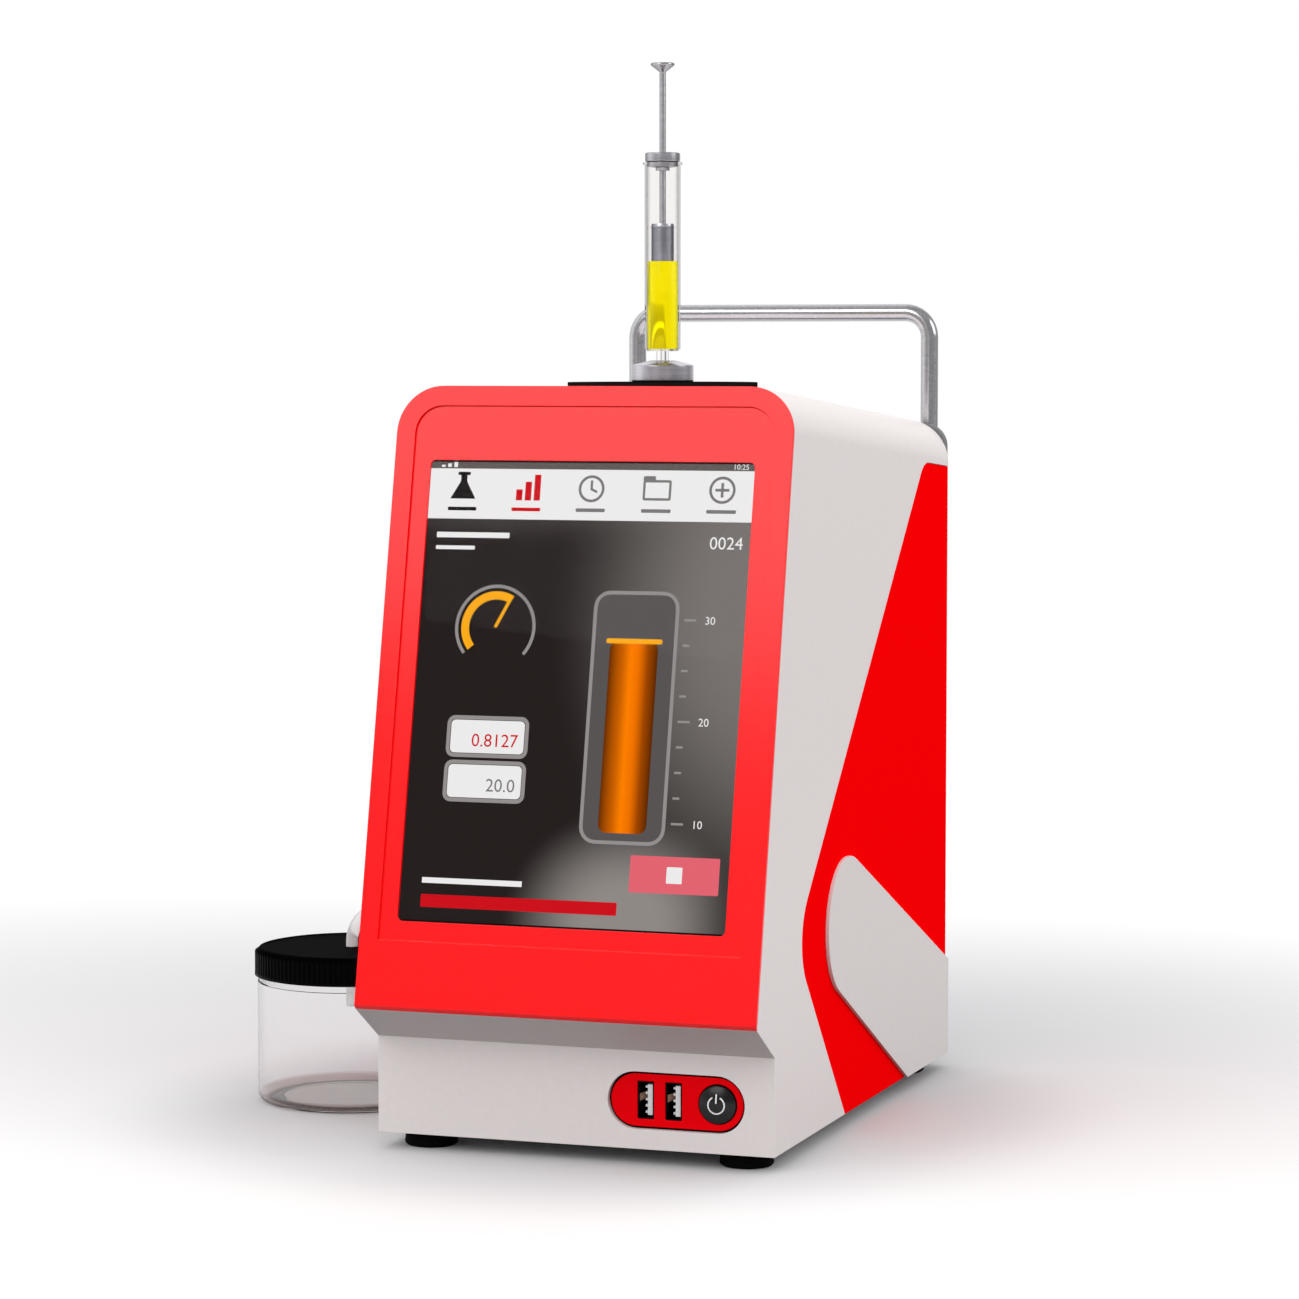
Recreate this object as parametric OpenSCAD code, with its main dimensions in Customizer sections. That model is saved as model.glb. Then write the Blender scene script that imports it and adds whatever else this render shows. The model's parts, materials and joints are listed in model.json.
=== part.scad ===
// Benchtop density meter: a housing with a slanted touch screen, an inlet port
// with a sample syringe on top, a carrying handle behind and a waste jar beside it.
// Millimetres, +Z up. The origin is on the bench, below the middle of the whole set.

/* [Housing] */
// Width of the housing
body_w = 150; // [146:1:164]
// Depth of the housing, from the lower front panel to its rear edge
body_d = 231; // [224:1:250]
// Height of the lower front panel
front_h = 35.2; // [34:0.2:42]
// Reach of the chin over the lower front panel
chin_out = 22; // [16:0.5:26]
// Height of the chin
chin_h = 13.6; // [10:0.2:18]
// Lean of the slanted face from upright, in degrees
face_tilt = 11.7; // [8:0.1:13]
// Fall of the top towards the rear, in degrees
top_fall = 4.1; // [2:0.1:6]
// Radius of the long top edges
top_r = 17; // [12:0.5:20]
// Thickness of the housing's wall
wall = 2.5; // [2:0.1:3]
// Play between pieces that are fitted together by hand
fit_gap = 0.2; // [0.1:0.05:0.3]

/* [Bezel and screen] */
// Thickness of the bezel
bezel_t = 4; // [3.6:0.1:5]
// Thickness of the bezel's edge, which covers the housing's front edge
bezel_edge = 1.5; // [1.4:0.1:1.8]
// Width of the housing's front edge behind the bezel's edge
bezel_rim = 1; // [0.6:0.1:1.5]
// Chamfer along the bezel's lower edge
bezel_chamfer = 0.8; // [0.6:0.1:0.9]
// Half width of the sunk field on the bezel
field_half = 67.8; // [65:0.2:69]
// Lower end of the sunk field, along the slope
field_low = 24.4; // [16:0.2:26]
// Distance of the sunk field's upper end below the housing's top
field_rim = 7.3; // [6:0.1:10]
// Radius of the sunk field's upper corners
field_r = 10; // [4:0.5:14]
// Depth of the sunk field
field_sink = 1; // [0.6:0.1:1.2]
// Half width of the screen window
window_half = 61.3; // [56:0.2:62]
// Lower end of the screen window, along the slope
window_low = 31.5; // [30:0.5:40]
// Upper end of the screen window, along the slope
window_high = 198; // [180:1:200]
// Distance of the window's upper end below the housing's top, or more where the cell is tall
window_rim = 27; // [24:0.5:32]
// Radius of the window's corners
window_r = 2; // [1:0.5:3]
// Thickness of the bezel's lip in front of the glass
lip_t = 1.2; // [0.8:0.1:1.4]
// Overlap of the glass behind the lip
glass_lap = 2.5; // [1.5:0.1:2.8]
// Thickness of the display module
display_t = 7; // [5:0.5:9]
// Rim of the display module round the glass
display_rim = 1.4; // [1:0.1:2]
// Thickness of the frame behind the bezel
flange_t = 2; // [1.5:0.1:3]
// Gap between the display module and the board behind it
board_gap = 6; // [4:0.5:8]
// Thickness of the circuit board
board_t = 1.6; // [1.2:0.1:2]
// Distance of the board's sides inside the display's
board_side_in = 6; // [4:0.5:10]
// Distance of the board's lower edge above the display's
board_low_in = 30; // [24:1:40]
// Distance of the board's upper edge below the display's
board_high_in = 12; // [8:1:16]
// Diameter of the board's spacers
spacer_d = 5; // [4:0.5:6]
// Side of the processor
chip_side = 26; // [20:1:30]
// Thickness of the processor
chip_t = 3; // [2:0.5:4]
// Length of a connector on the board
connector_l = 18; // [14:1:20]
// Width and height of a connector on the board
connector_w = 8; // [6:0.5:9]

/* [Side inlay and corner cover] */
// Place of the inlay's nose corner before rounding, behind the lower front panel
nose_y = 24.6; // [20:0.2:30]
// Height of the inlay's nose corner before rounding, above the housing's bottom
nose_z = 72; // [62:0.5:78]
// Rounding of the nose
nose_r = 21; // [14:0.5:24]
// Climb of the inlay's upper edge, in degrees
inlay_climb = 44.4; // [42:0.2:48]
// Fall of the inlay's lower edge, in degrees
inlay_fall = 48.7; // [45:0.1:52]
// Distance of the inlay's top edge below the housing's top
inlay_drop = 18.5; // [18:0.5:24]
// Rounding of the inlay's top corner
inlay_r = 15; // [4:0.5:18]
// Thickness of the inlay
inlay_t = 1; // [0.6:0.1:1.2]
// Depth of the inlay's face below the housing's side
inlay_sink = 0.2; // [0.1:0.05:0.3]
// Centre of the corner cover's round end, behind the lower front panel
cover_y = 87.5; // [84:0.5:94]
// Height of that centre above the housing's bottom
cover_z = 70.5; // [68:0.5:74]
// Radius of the cover's round end
cover_r = 25.6; // [20:0.2:27]
// Fall of the cover's upper edge, in degrees
cover_fall = 22.8; // [20:0.2:24]
// Fall of the cover's lower edge, in degrees
cover_low_fall = 26.8; // [25:0.2:29]
// Thickness of the corner cover
cover_t = 1.4; // [1:0.1:2]

/* [Front controls] */
// Sideways place of the control plate's middle
control_x = 38.5; // [36:0.5:40]
// Height of the control plate's middle above the housing's bottom
control_z = 17.4; // [16:0.2:19]
// Length of the slot for the control plate
slot_w = 50.9; // [49:0.1:54]
// Height of the slot for the control plate
slot_h = 20.5; // [18.5:0.1:22]
// Dark gap around the control plate
slot_gap = 0.8; // [0.3:0.1:1]
// Depth of the control plate's face behind the front panel
plate_sink = 1.2; // [0.8:0.1:1.6]
// Overlap of the control plate behind the panel
plate_lap = 2.4; // [1.5:0.1:3]
// Thickness of the control plate's rear flange
plate_flange = 2; // [1.5:0.1:3]
// Distance between the middles of the two sockets
usb_pitch = 10.4; // [9:0.1:11]
// Place of the sockets' middle, left of the plate's middle
usb_off = 6.5; // [6:0.1:7]
// Height of a socket's metal shell
usb_h = 13.1; // [12.9:0.1:13.3]
// Width of a socket's metal shell
usb_w = 5.7; // [5.6:0.1:6]
// Thickness of a socket's metal shell
usb_wall = 0.3; // [0.25:0.05:0.35]
// Depth of a socket
usb_deep = 14; // [12:0.5:16]
// Distance of a socket's mouth behind the plate's face
usb_sink = 0.3; // [0.2:0.05:0.5]
// Width of a socket's tongue
tongue_w = 11; // [10.8:0.1:11.2]
// Thickness of a socket's tongue
tongue_t = 1.84; // [1.8:0.02:1.9]
// Place of the tongue, right of the socket's middle
tongue_off = 0.35; // [0.3:0.05:0.4]
// Distance of the tongue's end behind the socket's mouth
tongue_sink = 1.2; // [1:0.1:1.6]
// Place of the power button, right of the plate's middle
button_off = 15.1; // [14.5:0.1:15.5]
// Diameter of the power button
button_d = 13.7; // [12.5:0.1:14]
// Travel of the power button
button_travel = 1.5; // [1:0.1:1.6]
// Height of the power button's dome
button_dome = 1.6; // [1:0.1:2]
// Height of the button's middle in front of the panel
button_proud = 0.8; // [0.5:0.1:1]
// Gap around the power button
button_gap = 0.3; // [0.2:0.05:0.4]
// Diameter of the power button's stem
stem_d = 6; // [5:0.5:7]
// Length of the switch behind the button
switch_l = 11; // [10:0.5:14]
// Wall of the switch round the button's width
switch_wall = 1.3; // [1:0.1:1.6]
// Floor of the switch behind the button's stem
switch_floor = 2; // [1.5:0.5:3]

/* [Inlet port] */
// Place of the inlet port behind the lower front panel
port_y = 98; // [94:1:102]
// Diameter of the round platform
platform_d = 71; // [64:1:76]
// Height of the platform above the housing's top at its middle
platform_h = 6.3; // [5.5:0.1:8]
// Diameter of the platform's spigot through the housing
spigot_d = 30; // [28:1:34]
// Length of the spigot below the housing's top
spigot_l = 7; // [6:0.5:9]
// Diameter of the steel port
port_d = 23.3; // [20:0.1:26]
// Height of the port's straight side
port_h = 6.4; // [5:0.1:8]
// Rise of the port's conical top
port_rise = 1.7; // [1:0.1:2.5]
// Diameter of the port's stem
port_stem_d = 12; // [10:0.5:14]
// Length of the port's stem below the spigot
port_over = 1; // [0.5:0.5:2]
// Chamfer of the port's lower edge
port_edge = 0.6; // [0.4:0.1:0.8]
// Flat ring round the port's seat
port_land = 2; // [1.5:0.1:3]
// Cord diameter of the port's seal
seal_d = 1.1; // [1:0.05:1.4]
// Distance of the seal's cord from the port's stem
seal_off = 3.1; // [2.8:0.1:3.6]

/* [Syringe] */
// Outer diameter of the glass barrel
barrel_d = 13.4; // [13:0.1:14.5]
// Wall of the glass barrel
barrel_wall = 0.85; // [0.7:0.05:1]
// Length of the glass barrel
barrel_l = 70; // [64:1:80]
// Thickness of the barrel's floor
barrel_floor = 0.8; // [0.6:0.1:1.2]
// Gap between the port's top and the barrel
tip_show = 3.4; // [2.5:0.1:5]
// Diameter of the tip below the barrel
tip_d = 4.7; // [4.4:0.1:5]
// Diameter of the tip at its end
tip_end_d = 4; // [3.8:0.1:4.2]
// Length of the tip inside the port
tip_in = 7; // [5:0.5:8]
// Bore of the tip
tip_bore = 1.6; // [1.2:0.1:2]
// Chamfer round the barrel's floor
barrel_edge = 1; // [0.6:0.1:1.4]
// Diameter of the barrel's flange
flange_d = 14.8; // [14.6:0.1:18]
// Thickness of the barrel's flange
flange_h = 0.8; // [0.6:0.1:1.2]
// Diameter of the metal end cap
end_cap_d = 13.1; // [12.8:0.1:14]
// Height of the metal end cap
end_cap_h = 3; // [2.5:0.1:4]
// Gap between the flange and the end cap's rim
end_cap_gap = 0.6; // [0.4:0.1:1]
// Length of the end cap's bushing inside the barrel
bushing_l = 3; // [2.5:0.1:4]
// Diameter of the bushing's lower end
bushing_d = 5.2; // [4.5:0.1:6]
// Diameter of the plunger rod
rod_d = 2.4; // [2:0.1:3]
// Diameter of the metal piston
piston_d = 8.2; // [7:0.1:9]
// Length of the metal piston
piston_l = 13.9; // [12:0.1:16]
// Metal of the piston under the rod's end
piston_floor = 4; // [3:0.5:6]
// Length of the piston above its clear sleeve
piston_neck = 1.2; // [1:0.1:1.6]
// Height of the sample liquid in the barrel
liquid_h = 32.6; // [26:0.2:34]
// Diameter of the thumb rest
thumb_d = 8.9; // [8:0.1:12]
// Height of the thumb rest's cone
thumb_h = 3.4; // [2.5:0.1:4]
// Height of the thumb rest's straight rim
thumb_rim = 0.6; // [0.4:0.1:0.8]
// Rise of the thumb rest's domed top
thumb_dome = 0.3; // [0.2:0.05:0.5]
// Length of rod between the end cap and the thumb rest
rod_show = 29.8; // [29:0.2:34]
// Play of the sliding fits
slide_fit = 0.06; // [0.04:0.01:0.08]

/* [Handle] */
// Diameter of the handle's rod
handle_d = 7; // [6:0.5:8]
// Distance of the handle's legs inside the housing's sides
handle_in = 12.7; // [12:0.1:17]
// Distance of the legs behind the housing's rear edge
handle_back = 17.5; // [17:0.5:22]
// Height of the handle's bar above the housing's rear top edge
handle_rise = 43; // [38:0.5:50]
// Bend radius of the handle's middle line
handle_bend = 10; // [8:0.5:12]
// Length of the legs between the top bends and the lower bends
handle_leg = 77; // [70:1:84]
// Diameter of the rosettes
rosette_d = 15; // [12:0.5:17]
// Thickness of the rosettes
rosette_t = 3; // [2:0.5:3]
// Diameter of the handle's screws
handle_screw_d = 4; // [3:0.5:4.5]
// Length of the handle's screws inside the rod
handle_screw_in = 6; // [5:0.5:8]

/* [Base and rear] */
// Height of the feet
foot_h = 6; // [5:0.5:8]
// Diameter of the feet
foot_d = 19.5; // [18:0.5:21]
// Distance of the feet from the housing's sides
foot_side = 14.8; // [14:0.2:18]
// Distance of the front feet behind the lower front panel
foot_front = 14.6; // [14:0.2:18]
// Distance of the rear feet before the housing's rear edge
foot_rear = 15; // [14:0.2:20]
// Diameter of the foot screws
foot_screw_d = 4; // [3:0.5:5]
// Diameter of the foot screws' heads
foot_head_d = 8.4; // [7:0.2:9]
// Height of the foot screws' heads
foot_head_h = 1.4; // [1.2:0.1:1.8]
// Rubber between a screw's head and the base plate
foot_web = 2; // [1.5:0.1:2.5]
// Diameter of the opening in a foot's underside
foot_mouth = 6; // [5:0.2:7]
// Chamfer round a foot's underside
foot_edge = 1; // [0.6:0.1:1.4]
// Length of the foot screws above the base plate
foot_screw_over = 4; // [3:0.5:6]
// Thickness of the base plate
base_t = 2; // [1.5:0.1:3]
// Height of the base plate's side flanges
base_flange = 10; // [8:0.5:12]
// Height of the base plate's front flange
base_lip = 2; // [1.5:0.5:2.5]
// Distance between the base plate's air slots
air_pitch = 12; // [10:0.5:14]
// Length of an air slot
air_l = 26; // [20:1:30]
// Width of an air slot
air_w = 3.6; // [3:0.1:4.2]
// Thickness of the rear panel
rear_t = 4; // [3:0.2:5]
// Step of the rear panel inside the housing's outline
rear_step = 1.4; // [1:0.1:1.8]
// Radius of the rear panel's upper corners
rear_r = 9; // [6:0.5:12]
// Radius of the rear panel's lower corners
rear_low_r = 2; // [1:0.5:4]
// Distance of the first vent below the rear panel's top
vent_top = 22; // [18:1:26]
// Distance between the vents
vent_pitch = 7; // [6:0.5:8]
// Length of a vent
vent_l = 70; // [60:1:80]
// Height of a vent
vent_h = 3.2; // [2.6:0.1:3.8]
// Length of the housing's bosses for the panel screws
boss_l = 14; // [12:1:18]
// Side of these bosses
boss_w = 12; // [10:0.5:13]
// Distance of the upper bosses below the housing's rear top edge
boss_drop = 70; // [64:1:76]
// Gap between the lower bosses and the base plate's flanges
boss_gap = 4; // [3:0.5:6]
// Width of the mains inlet's cavity
inlet_w = 24; // [23.5:0.1:24.5]
// Height of the mains inlet's cavity
inlet_h = 16.5; // [16:0.1:17]
// Depth of the mains inlet's cavity
inlet_deep = 16; // [15:0.5:18]
// Chamfer of the cavity's upper corners
inlet_bevel = 4; // [3:0.2:5]
// Wall of the mains inlet's case
inlet_wall = 1.8; // [1.5:0.1:2.4]
// Length of the mains inlet's case
inlet_l = 26; // [22:1:30]
// Width of the mains inlet's flange beside its cavity
inlet_flange = 4.5; // [4:0.5:6]
// Thickness of the mains inlet's flange
inlet_flange_t = 2; // [1.5:0.5:3]
// Distance of the mains inlet's middle from the housing's right side
inlet_in = 39; // [36:1:42]
// Distance of the network socket's middle from the housing's left side
network_in = 39; // [34:1:42]
// Height of the sockets on the rear panel above the housing's bottom
sockets_z = 26; // [24:0.5:30]
// Width of the network socket's cavity
network_w = 11.8; // [11.6:0.1:12]
// Height of the network socket's cavity
network_h = 8; // [7.8:0.1:8.4]
// Depth of the network socket's cavity
network_deep = 13; // [12:0.5:15]
// Wall of the network socket's case
network_wall = 2.3; // [2:0.1:3]
// Length of the network socket's case
network_l = 21; // [18:1:24]
// Diameter of the panel screws
screw_d = 3; // [2.5:0.5:3.5]
// Length of the fan's screws inside its frame
fan_screw_in = 5; // [4:0.5:8]

/* [Fan] */
// Side of the fan's square frame
fan_side = 80; // [76:1:84]
// Depth of the fan's frame
fan_deep = 25; // [20:1:28]
// Diameter of the fan's air channel
fan_bore = 76; // [72:0.5:76]
// Diameter of the fan's hub
hub_d = 32; // [28:1:36]
// Number of fan blades
blades = 7; // [5:1:9]
// Height of the fan's axis above the housing's bottom
fan_z = 130; // [122:1:136]
// Diameter of the fan's shaft
shaft_d = 3; // [2.5:0.5:4]
// Thickness of the fan's motor plate
motor_t = 3; // [2:0.5:4]
// Width of the motor plate's struts
strut_w = 5; // [4:0.5:6]
// Gap between the motor plate and the turning hub
hub_gap = 4; // [3:0.5:5]
// Gap between the turning hub and the rear panel
hub_rear_gap = 3; // [2:0.5:4]
// Thickness of a blade
blade_t = 1.8; // [1.4:0.1:2.2]
// Turn of a blade, in degrees
blade_turn = 38; // [30:1:45]
// Distance of the fan's screws inside its frame's sides
fan_hole_in = 4.2; // [4:0.1:5]
// Radius of the disc in the middle of the fan's grille
grille_mid = 10.4; // [8:0.2:12]
// Distance between the grille's rings
grille_pitch = 6; // [5:0.5:7]
// Width of the openings between the rings
grille_gap = 3.6; // [3:0.1:4]
// Width of the grille's spokes
grille_spoke = 3; // [2:0.5:4]

/* [Measuring cell] */
// Side of the square thermostat block
block_side = 44; // [42:1:48]
// Height of the thermostat block
block_h = 160; // [140:1:162]
// Bore of the thermostat block
block_bore = 34; // [30:1:36]
// Floor of the thermostat block below its bore
block_floor = 6; // [4:0.5:8]
// Diameter of the glass measuring tube
tube_d = 4; // [3:0.5:5]
// Distance between the measuring tube's two legs
tube_pitch = 16; // [14:0.5:18]
// Wall of the glass measuring tube
tube_wall = 0.6; // [0.4:0.1:0.8]
// Distance of the measuring tube's bend above the block's lower end
tube_lift = 16; // [12:1:20]
// Length of the measuring tube above the cell's cap
tube_show = 4; // [3:0.5:6]
// Thickness of the cell's cap
cell_cap_t = 14; // [10:1:16]
// Length of the cap's plug in the block's bore
plug_l = 4; // [3:0.5:6]
// Diameter of the sample tube and the outlet tube
pipe_d = 3.2; // [3:0.1:3.6]
// Bend radius of the outlet tube
pipe_bend = 12; // [10:0.5:14]
// Straight rise of the outlet tube out of the measuring tube
pipe_rise = 6; // [5:0.5:8]
// Distance of the outlet tube's drop from the housing's left wall
pipe_in = 22; // [20:0.5:24]
// Room between the outlet tube and the housing's top
pipe_room = 6.5; // [6:0.5:10]
// Thickness of the insulation
foam_t = 8; // [6:0.5:10]
// Height of the shelf that carries the cell, above the base plate
shelf_h = 44; // [42:1:50]
// Thickness of the shelf
shelf_t = 2; // [1.5:0.5:3]
// Width of the shelf beside the power supply
shelf_over = 12; // [10:0.5:14]
// Width of the shelf's feet
shelf_foot = 10; // [8:0.5:12]
// Rim of the shelf round the cell
shelf_rim = 2; // [1:0.5:3]
// Side of the cooling element
peltier_side = 40; // [30:1:42]
// Thickness of the cooling element
peltier_t = 4; // [3:0.5:5]
// Width of the heat sink
sink_w = 90; // [80:1:96]
// Thickness of the heat sink's base
sink_base = 6; // [4:0.5:8]
// Length of the heat sink's fins
fin_l = 30; // [20:1:36]
// Number of fins
fins = 13; // [9:1:15]
// Thickness of a fin
fin_t = 2; // [1.5:0.1:2.4]
// Width of the power supply
supply_w = 98; // [90:1:100]
// Length of the power supply
supply_l = 129; // [120:1:135]
// Height of the power supply
supply_h = 36; // [30:1:36]
// Distance of the power supply behind the housing's front wall
supply_in = 36; // [32:1:40]
// Height of the power supply's feet
supply_foot_h = 4; // [3:0.5:5]
// Diameter of the power supply's feet
supply_foot_d = 8; // [6:0.5:10]
// Distance between the power supply's air slots
supply_pitch = 7; // [6:0.5:8]
// Width of these slots
supply_slot = 3; // [2:0.5:4]

/* [Waste jar and hose] */
// Diameter of the jar
jar_d = 72.6; // [70:0.2:76]
// Wall of the jar
jar_wall = 1.2; // [1:0.1:1.6]
// Height of the jar below its cap
jar_h = 48.9; // [46:0.1:56]
// Gap between the jar and the housing
jar_gap = 12; // [10:0.5:16]
// Place of the jar behind the lower front panel
jar_y = 89; // [84:1:94]
// Rounding of the jar's lower edge
jar_r = 4; // [2:0.5:6]
// Width of the ring that the jar stands on
jar_ring = 6; // [4:0.5:8]
// Lift of the jar's bottom inside this ring
jar_lift = 0.8; // [0.5:0.1:1.2]
// Step from the jar's side in to its neck
neck_in = 2.6; // [2.4:0.1:3.2]
// Height of the jar's shoulder
shoulder_h = 2; // [1.5:0.1:3]
// Diameter of the screw cap
lid_d = 73.6; // [72:0.2:78]
// Height of the screw cap
lid_h = 10.6; // [9:0.1:14]
// Thickness of the cap's top
lid_t = 1.6; // [1.2:0.1:2]
// Height of the cap's lower rim
lid_rim = 0.8; // [0.6:0.1:1.2]
// Chamfer of the cap's upper edge
lid_edge = 1.2; // [0.8:0.1:1.6]
// Number of ribs round the cap
ribs = 110; // [80:1:130]
// Height of a rib
rib_h = 0.5; // [0.3:0.1:0.8]
// Thickness of the liner in the cap
liner_t = 1; // [0.6:0.1:1.5]
// Outer diameter of the hose
hose_d = 4.6; // [4.4:0.1:5.2]
// Gap round the hose in the cap
hose_gap = 0.3; // [0.2:0.05:0.5]
// Radius of the hose's bend above the cap
hose_bend = 13; // [12:0.5:16]
// Gap between the cap and this bend
hose_rise = 1.5; // [1:0.5:3]
// Height of the hose's lower end inside the jar
hose_low = 36; // [34:1:40]
// Length of the waste fitting outside the housing
nipple_l = 10; // [8:0.5:12]
// Diameter of the waste fitting's collar
nipple_d = 9; // [8:0.5:11]
// Length of the waste fitting's collar
collar_l = 3.6; // [3:0.1:5]
// Diameter of the waste fitting's thread
thread_d = 6.6; // [6:0.1:7]
// Thickness of the nut on this thread
nut_t = 4; // [3:0.5:5]
// Diameter of the waste fitting's spout
spout_d = 3; // [2.6:0.1:3.4]

/* [Hidden] */

$fn = 96;
cut = 1;                                  // how far a cutting solid runs past a face
white = [0.88, 0.86, 0.84];
red = [0.90, 0.03, 0.05];
black = [0.06, 0.06, 0.06];
steel = [0.62, 0.62, 0.64];
dark_grey = [0.22, 0.22, 0.23];

// ---- places worked out from the sizes above

half_w = body_w / 2;
chin_tip = [-chin_out, foot_h + front_h + chin_h];
floor_z = foot_h + base_t;                // top of the base plate
shelf_z = floor_z + shelf_h + shelf_t;    // top of the shelf
cell_x = -tube_pitch / 2;
block_z = shelf_z + foam_t;
block_top = block_z + block_h;
cell_top = block_top + cell_cap_t;
tube_top = cell_top + tube_show;
pipe_top = tube_top + pipe_rise + pipe_bend + pipe_d / 2;
// The slanted face is as long as the screen needs, or as the cell and its tubes need.
face_len = max(window_high + window_rim, (pipe_top + pipe_room + wall - chin_tip[1]
    + (port_y + chin_out) * tan(top_fall)) / (cos(face_tilt) + sin(face_tilt) * tan(top_fall)));
brow = chin_tip + face_len * [sin(face_tilt), cos(face_tilt)];
rear_top = [body_d, brow[1] - (body_d - brow[0]) * tan(top_fall)];
// side view of the housing (Y, Z): bottom, rear, top, slanted face, chin, lower front
profile = [[0, foot_h], [body_d, foot_h], rear_top, brow, chin_tip, [0, foot_h + front_h]];
reach = body_d + 2 * face_len;            // longer than the housing in any direction

function top_at(y) = brow[1] - (y - brow[0]) * tan(top_fall);

platform_top = top_at(port_y) + platform_h;
port_top = platform_top + port_h + port_rise;
barrel_z = port_top + tip_show;
barrel_top = barrel_z + barrel_l;
bore_r = barrel_d / 2 - barrel_wall;
liquid_z = barrel_z + barrel_floor;
piston_z = liquid_z + liquid_h;
end_cap_z = barrel_top + end_cap_gap;
thumb_z = end_cap_z + end_cap_h + rod_show;

handle_y = body_d + handle_back;
handle_half = half_w - handle_in;
bar_z = rear_top[1] + handle_rise;
leg_top_z = bar_z - handle_bend;
leg_low_z = leg_top_z - handle_leg;
stud_z = leg_low_z - handle_bend;
rear_face = body_d + rear_t;

block_rear = port_y + block_side / 2;
sink_y = block_rear + peltier_t;
port_low = top_at(port_y) - spigot_l - port_over;

jar_x = -(half_w + jar_gap + jar_d / 2);
lid_top = jar_h + lid_h;
rim_z = lid_top - lid_t - liner_t - fit_gap;  // rim of the jar's neck
neck_r = jar_d / 2 - neck_in;
rim_r = lid_d / 2 + 1.2 * rib_h;          // the cap's lower rim stands out past the ribs
nipple_z_abs = lid_top + hose_rise + hose_bend;   // the waste fitting's height

cover_out = half_w - inlay_sink + cover_t;
hose_end = -cover_out - collar_l - jar_x;  // the fitting's collar, seen from the jar's middle
x_low = jar_x - rim_r;
shift = [-(x_low + cover_out) / 2, -(handle_y + handle_d / 2 - chin_out) / 2, 0];

// Moves a piece from the housing's own zero to the middle of the whole set.
module place() translate(shift) children();

// ---- plane geometry

function unit(v) = v / norm(v);
function left_of(d) = [-d[1], d[0]];
function meet(p, d, q, e) = p + d * (cross(q - p, e) / cross(d, e));

// Outline with each edge moved inwards by its own distance; edge i starts at point i.
function inset(pts, g) = let (n = len(pts)) [for (i = [0 : n - 1]) let (
    d = unit(pts[i] - pts[(i + n - 1) % n]), e = unit(pts[(i + 1) % n] - pts[i]))
    meet(pts[i] + left_of(d) * g[(i + n - 1) % n], d, pts[i] + left_of(e) * g[i], e)];

// Arc of radius r that rounds the corner b between a and c.
function corner(a, b, c, r, steps = 14) = let (
    d = unit(a - b), e = unit(c - b), half = acos(d * e) / 2,
    mid = b + unit(d + e) * r / sin(half),
    from = b + d * r / tan(half) - mid, to = b + e * r / tan(half) - mid,
    turn = atan2(cross(from, to), from * to), start = atan2(from[1], from[0]))
    [for (k = [0 : steps]) mid + r * [cos(start + turn * k / steps), sin(start + turn * k / steps)]];

// Outline whose corner i is rounded with radius r[i]; 0 keeps it sharp.
function rounded(pts, r) = let (n = len(pts)) [for (i = [0 : n - 1])
    each (r[i] > 0 ? corner(pts[(i + n - 1) % n], pts[i], pts[(i + 1) % n], r[i]) : [pts[i]])];

// ---- helpers for solids

// Extrudes a side view (Y, Z) along X, from x0 to x1.
module side_extrude(x0, x1) translate([x0, 0, 0]) rotate([90, 0, 90])
    linear_extrude(x1 - x0) children();

// Extrudes a front view (X, Z) along Y, from y0 to y1.
module front_extrude(y0, y1) translate([0, y1, 0]) rotate([90, 0, 0])
    linear_extrude(y1 - y0) children();

// Frame of the slanted face: X sideways, Y into the housing, Z up the slope.
module on_face() translate([0, chin_tip[0], chin_tip[1]]) rotate([-face_tilt, 0, 0]) children();

// Turns a solid of revolution so that its axis points along Y, into the housing.
module along_y(x, y, z) translate([x, y, z]) rotate([-90, 0, 0]) children();

// Makes a piece on the right and its mirror image on the left.
module for_sides() {
    children();
    mirror([1, 0, 0]) children();
}

// Upright section with round upper corners, hung from its top edge.
module arch(w, r, drop) {
    translate([-w / 2, -reach]) square([w, reach - r - drop]);
    translate([-w / 2 + r, -reach]) square([w - 2 * r, reach - drop]);
    for (side = [-1, 1]) translate([side * (w / 2 - r), -r - drop]) circle(r);
}

// Rectangle around the zero point with round corners.
module plate(w, h, r) {
    square([w - 2 * r, h], center = true);
    square([w, h - 2 * r], center = true);
    for (x = [-1, 1], y = [-1, 1]) translate([x * (w / 2 - r), y * (h / 2 - r)]) circle(r);
}

// Field on the slanted face with round upper corners.
module field(half, low, high, r_low, r_high) polygon(rounded(
    [[-half, low], [half, low], [half, high], [-half, high]], [r_low, r_low, r_high, r_high]));

module pill(w, h) {
    square([w - h, h], center = true);
    for (side = [-1, 1]) translate([side * (w - h) / 2, 0]) circle(h / 2);
}

// Block of the housing's form, with each face moved inwards by its own distance.
module body_form(side = 0, bottom = 0, rear = 0, top = 0, face = 0, chin = 0, front = 0)
    intersection() {
        side_extrude(-body_w, body_w)
            polygon(inset(profile, [bottom, rear, -top_r, face, chin, front]));
        translate([0, brow[0], brow[1]]) rotate([-top_fall, 0, 0])
            front_extrude(-reach, reach) arch(body_w - 2 * side, top_r - side, top);
    }

// Slab along the slanted face, from one depth behind it to another.
module face_slab(y0, y1) on_face() translate([-body_w, y0, -body_d])
    cube([2 * body_w, y1 - y0, 3 * body_d]);

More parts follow.
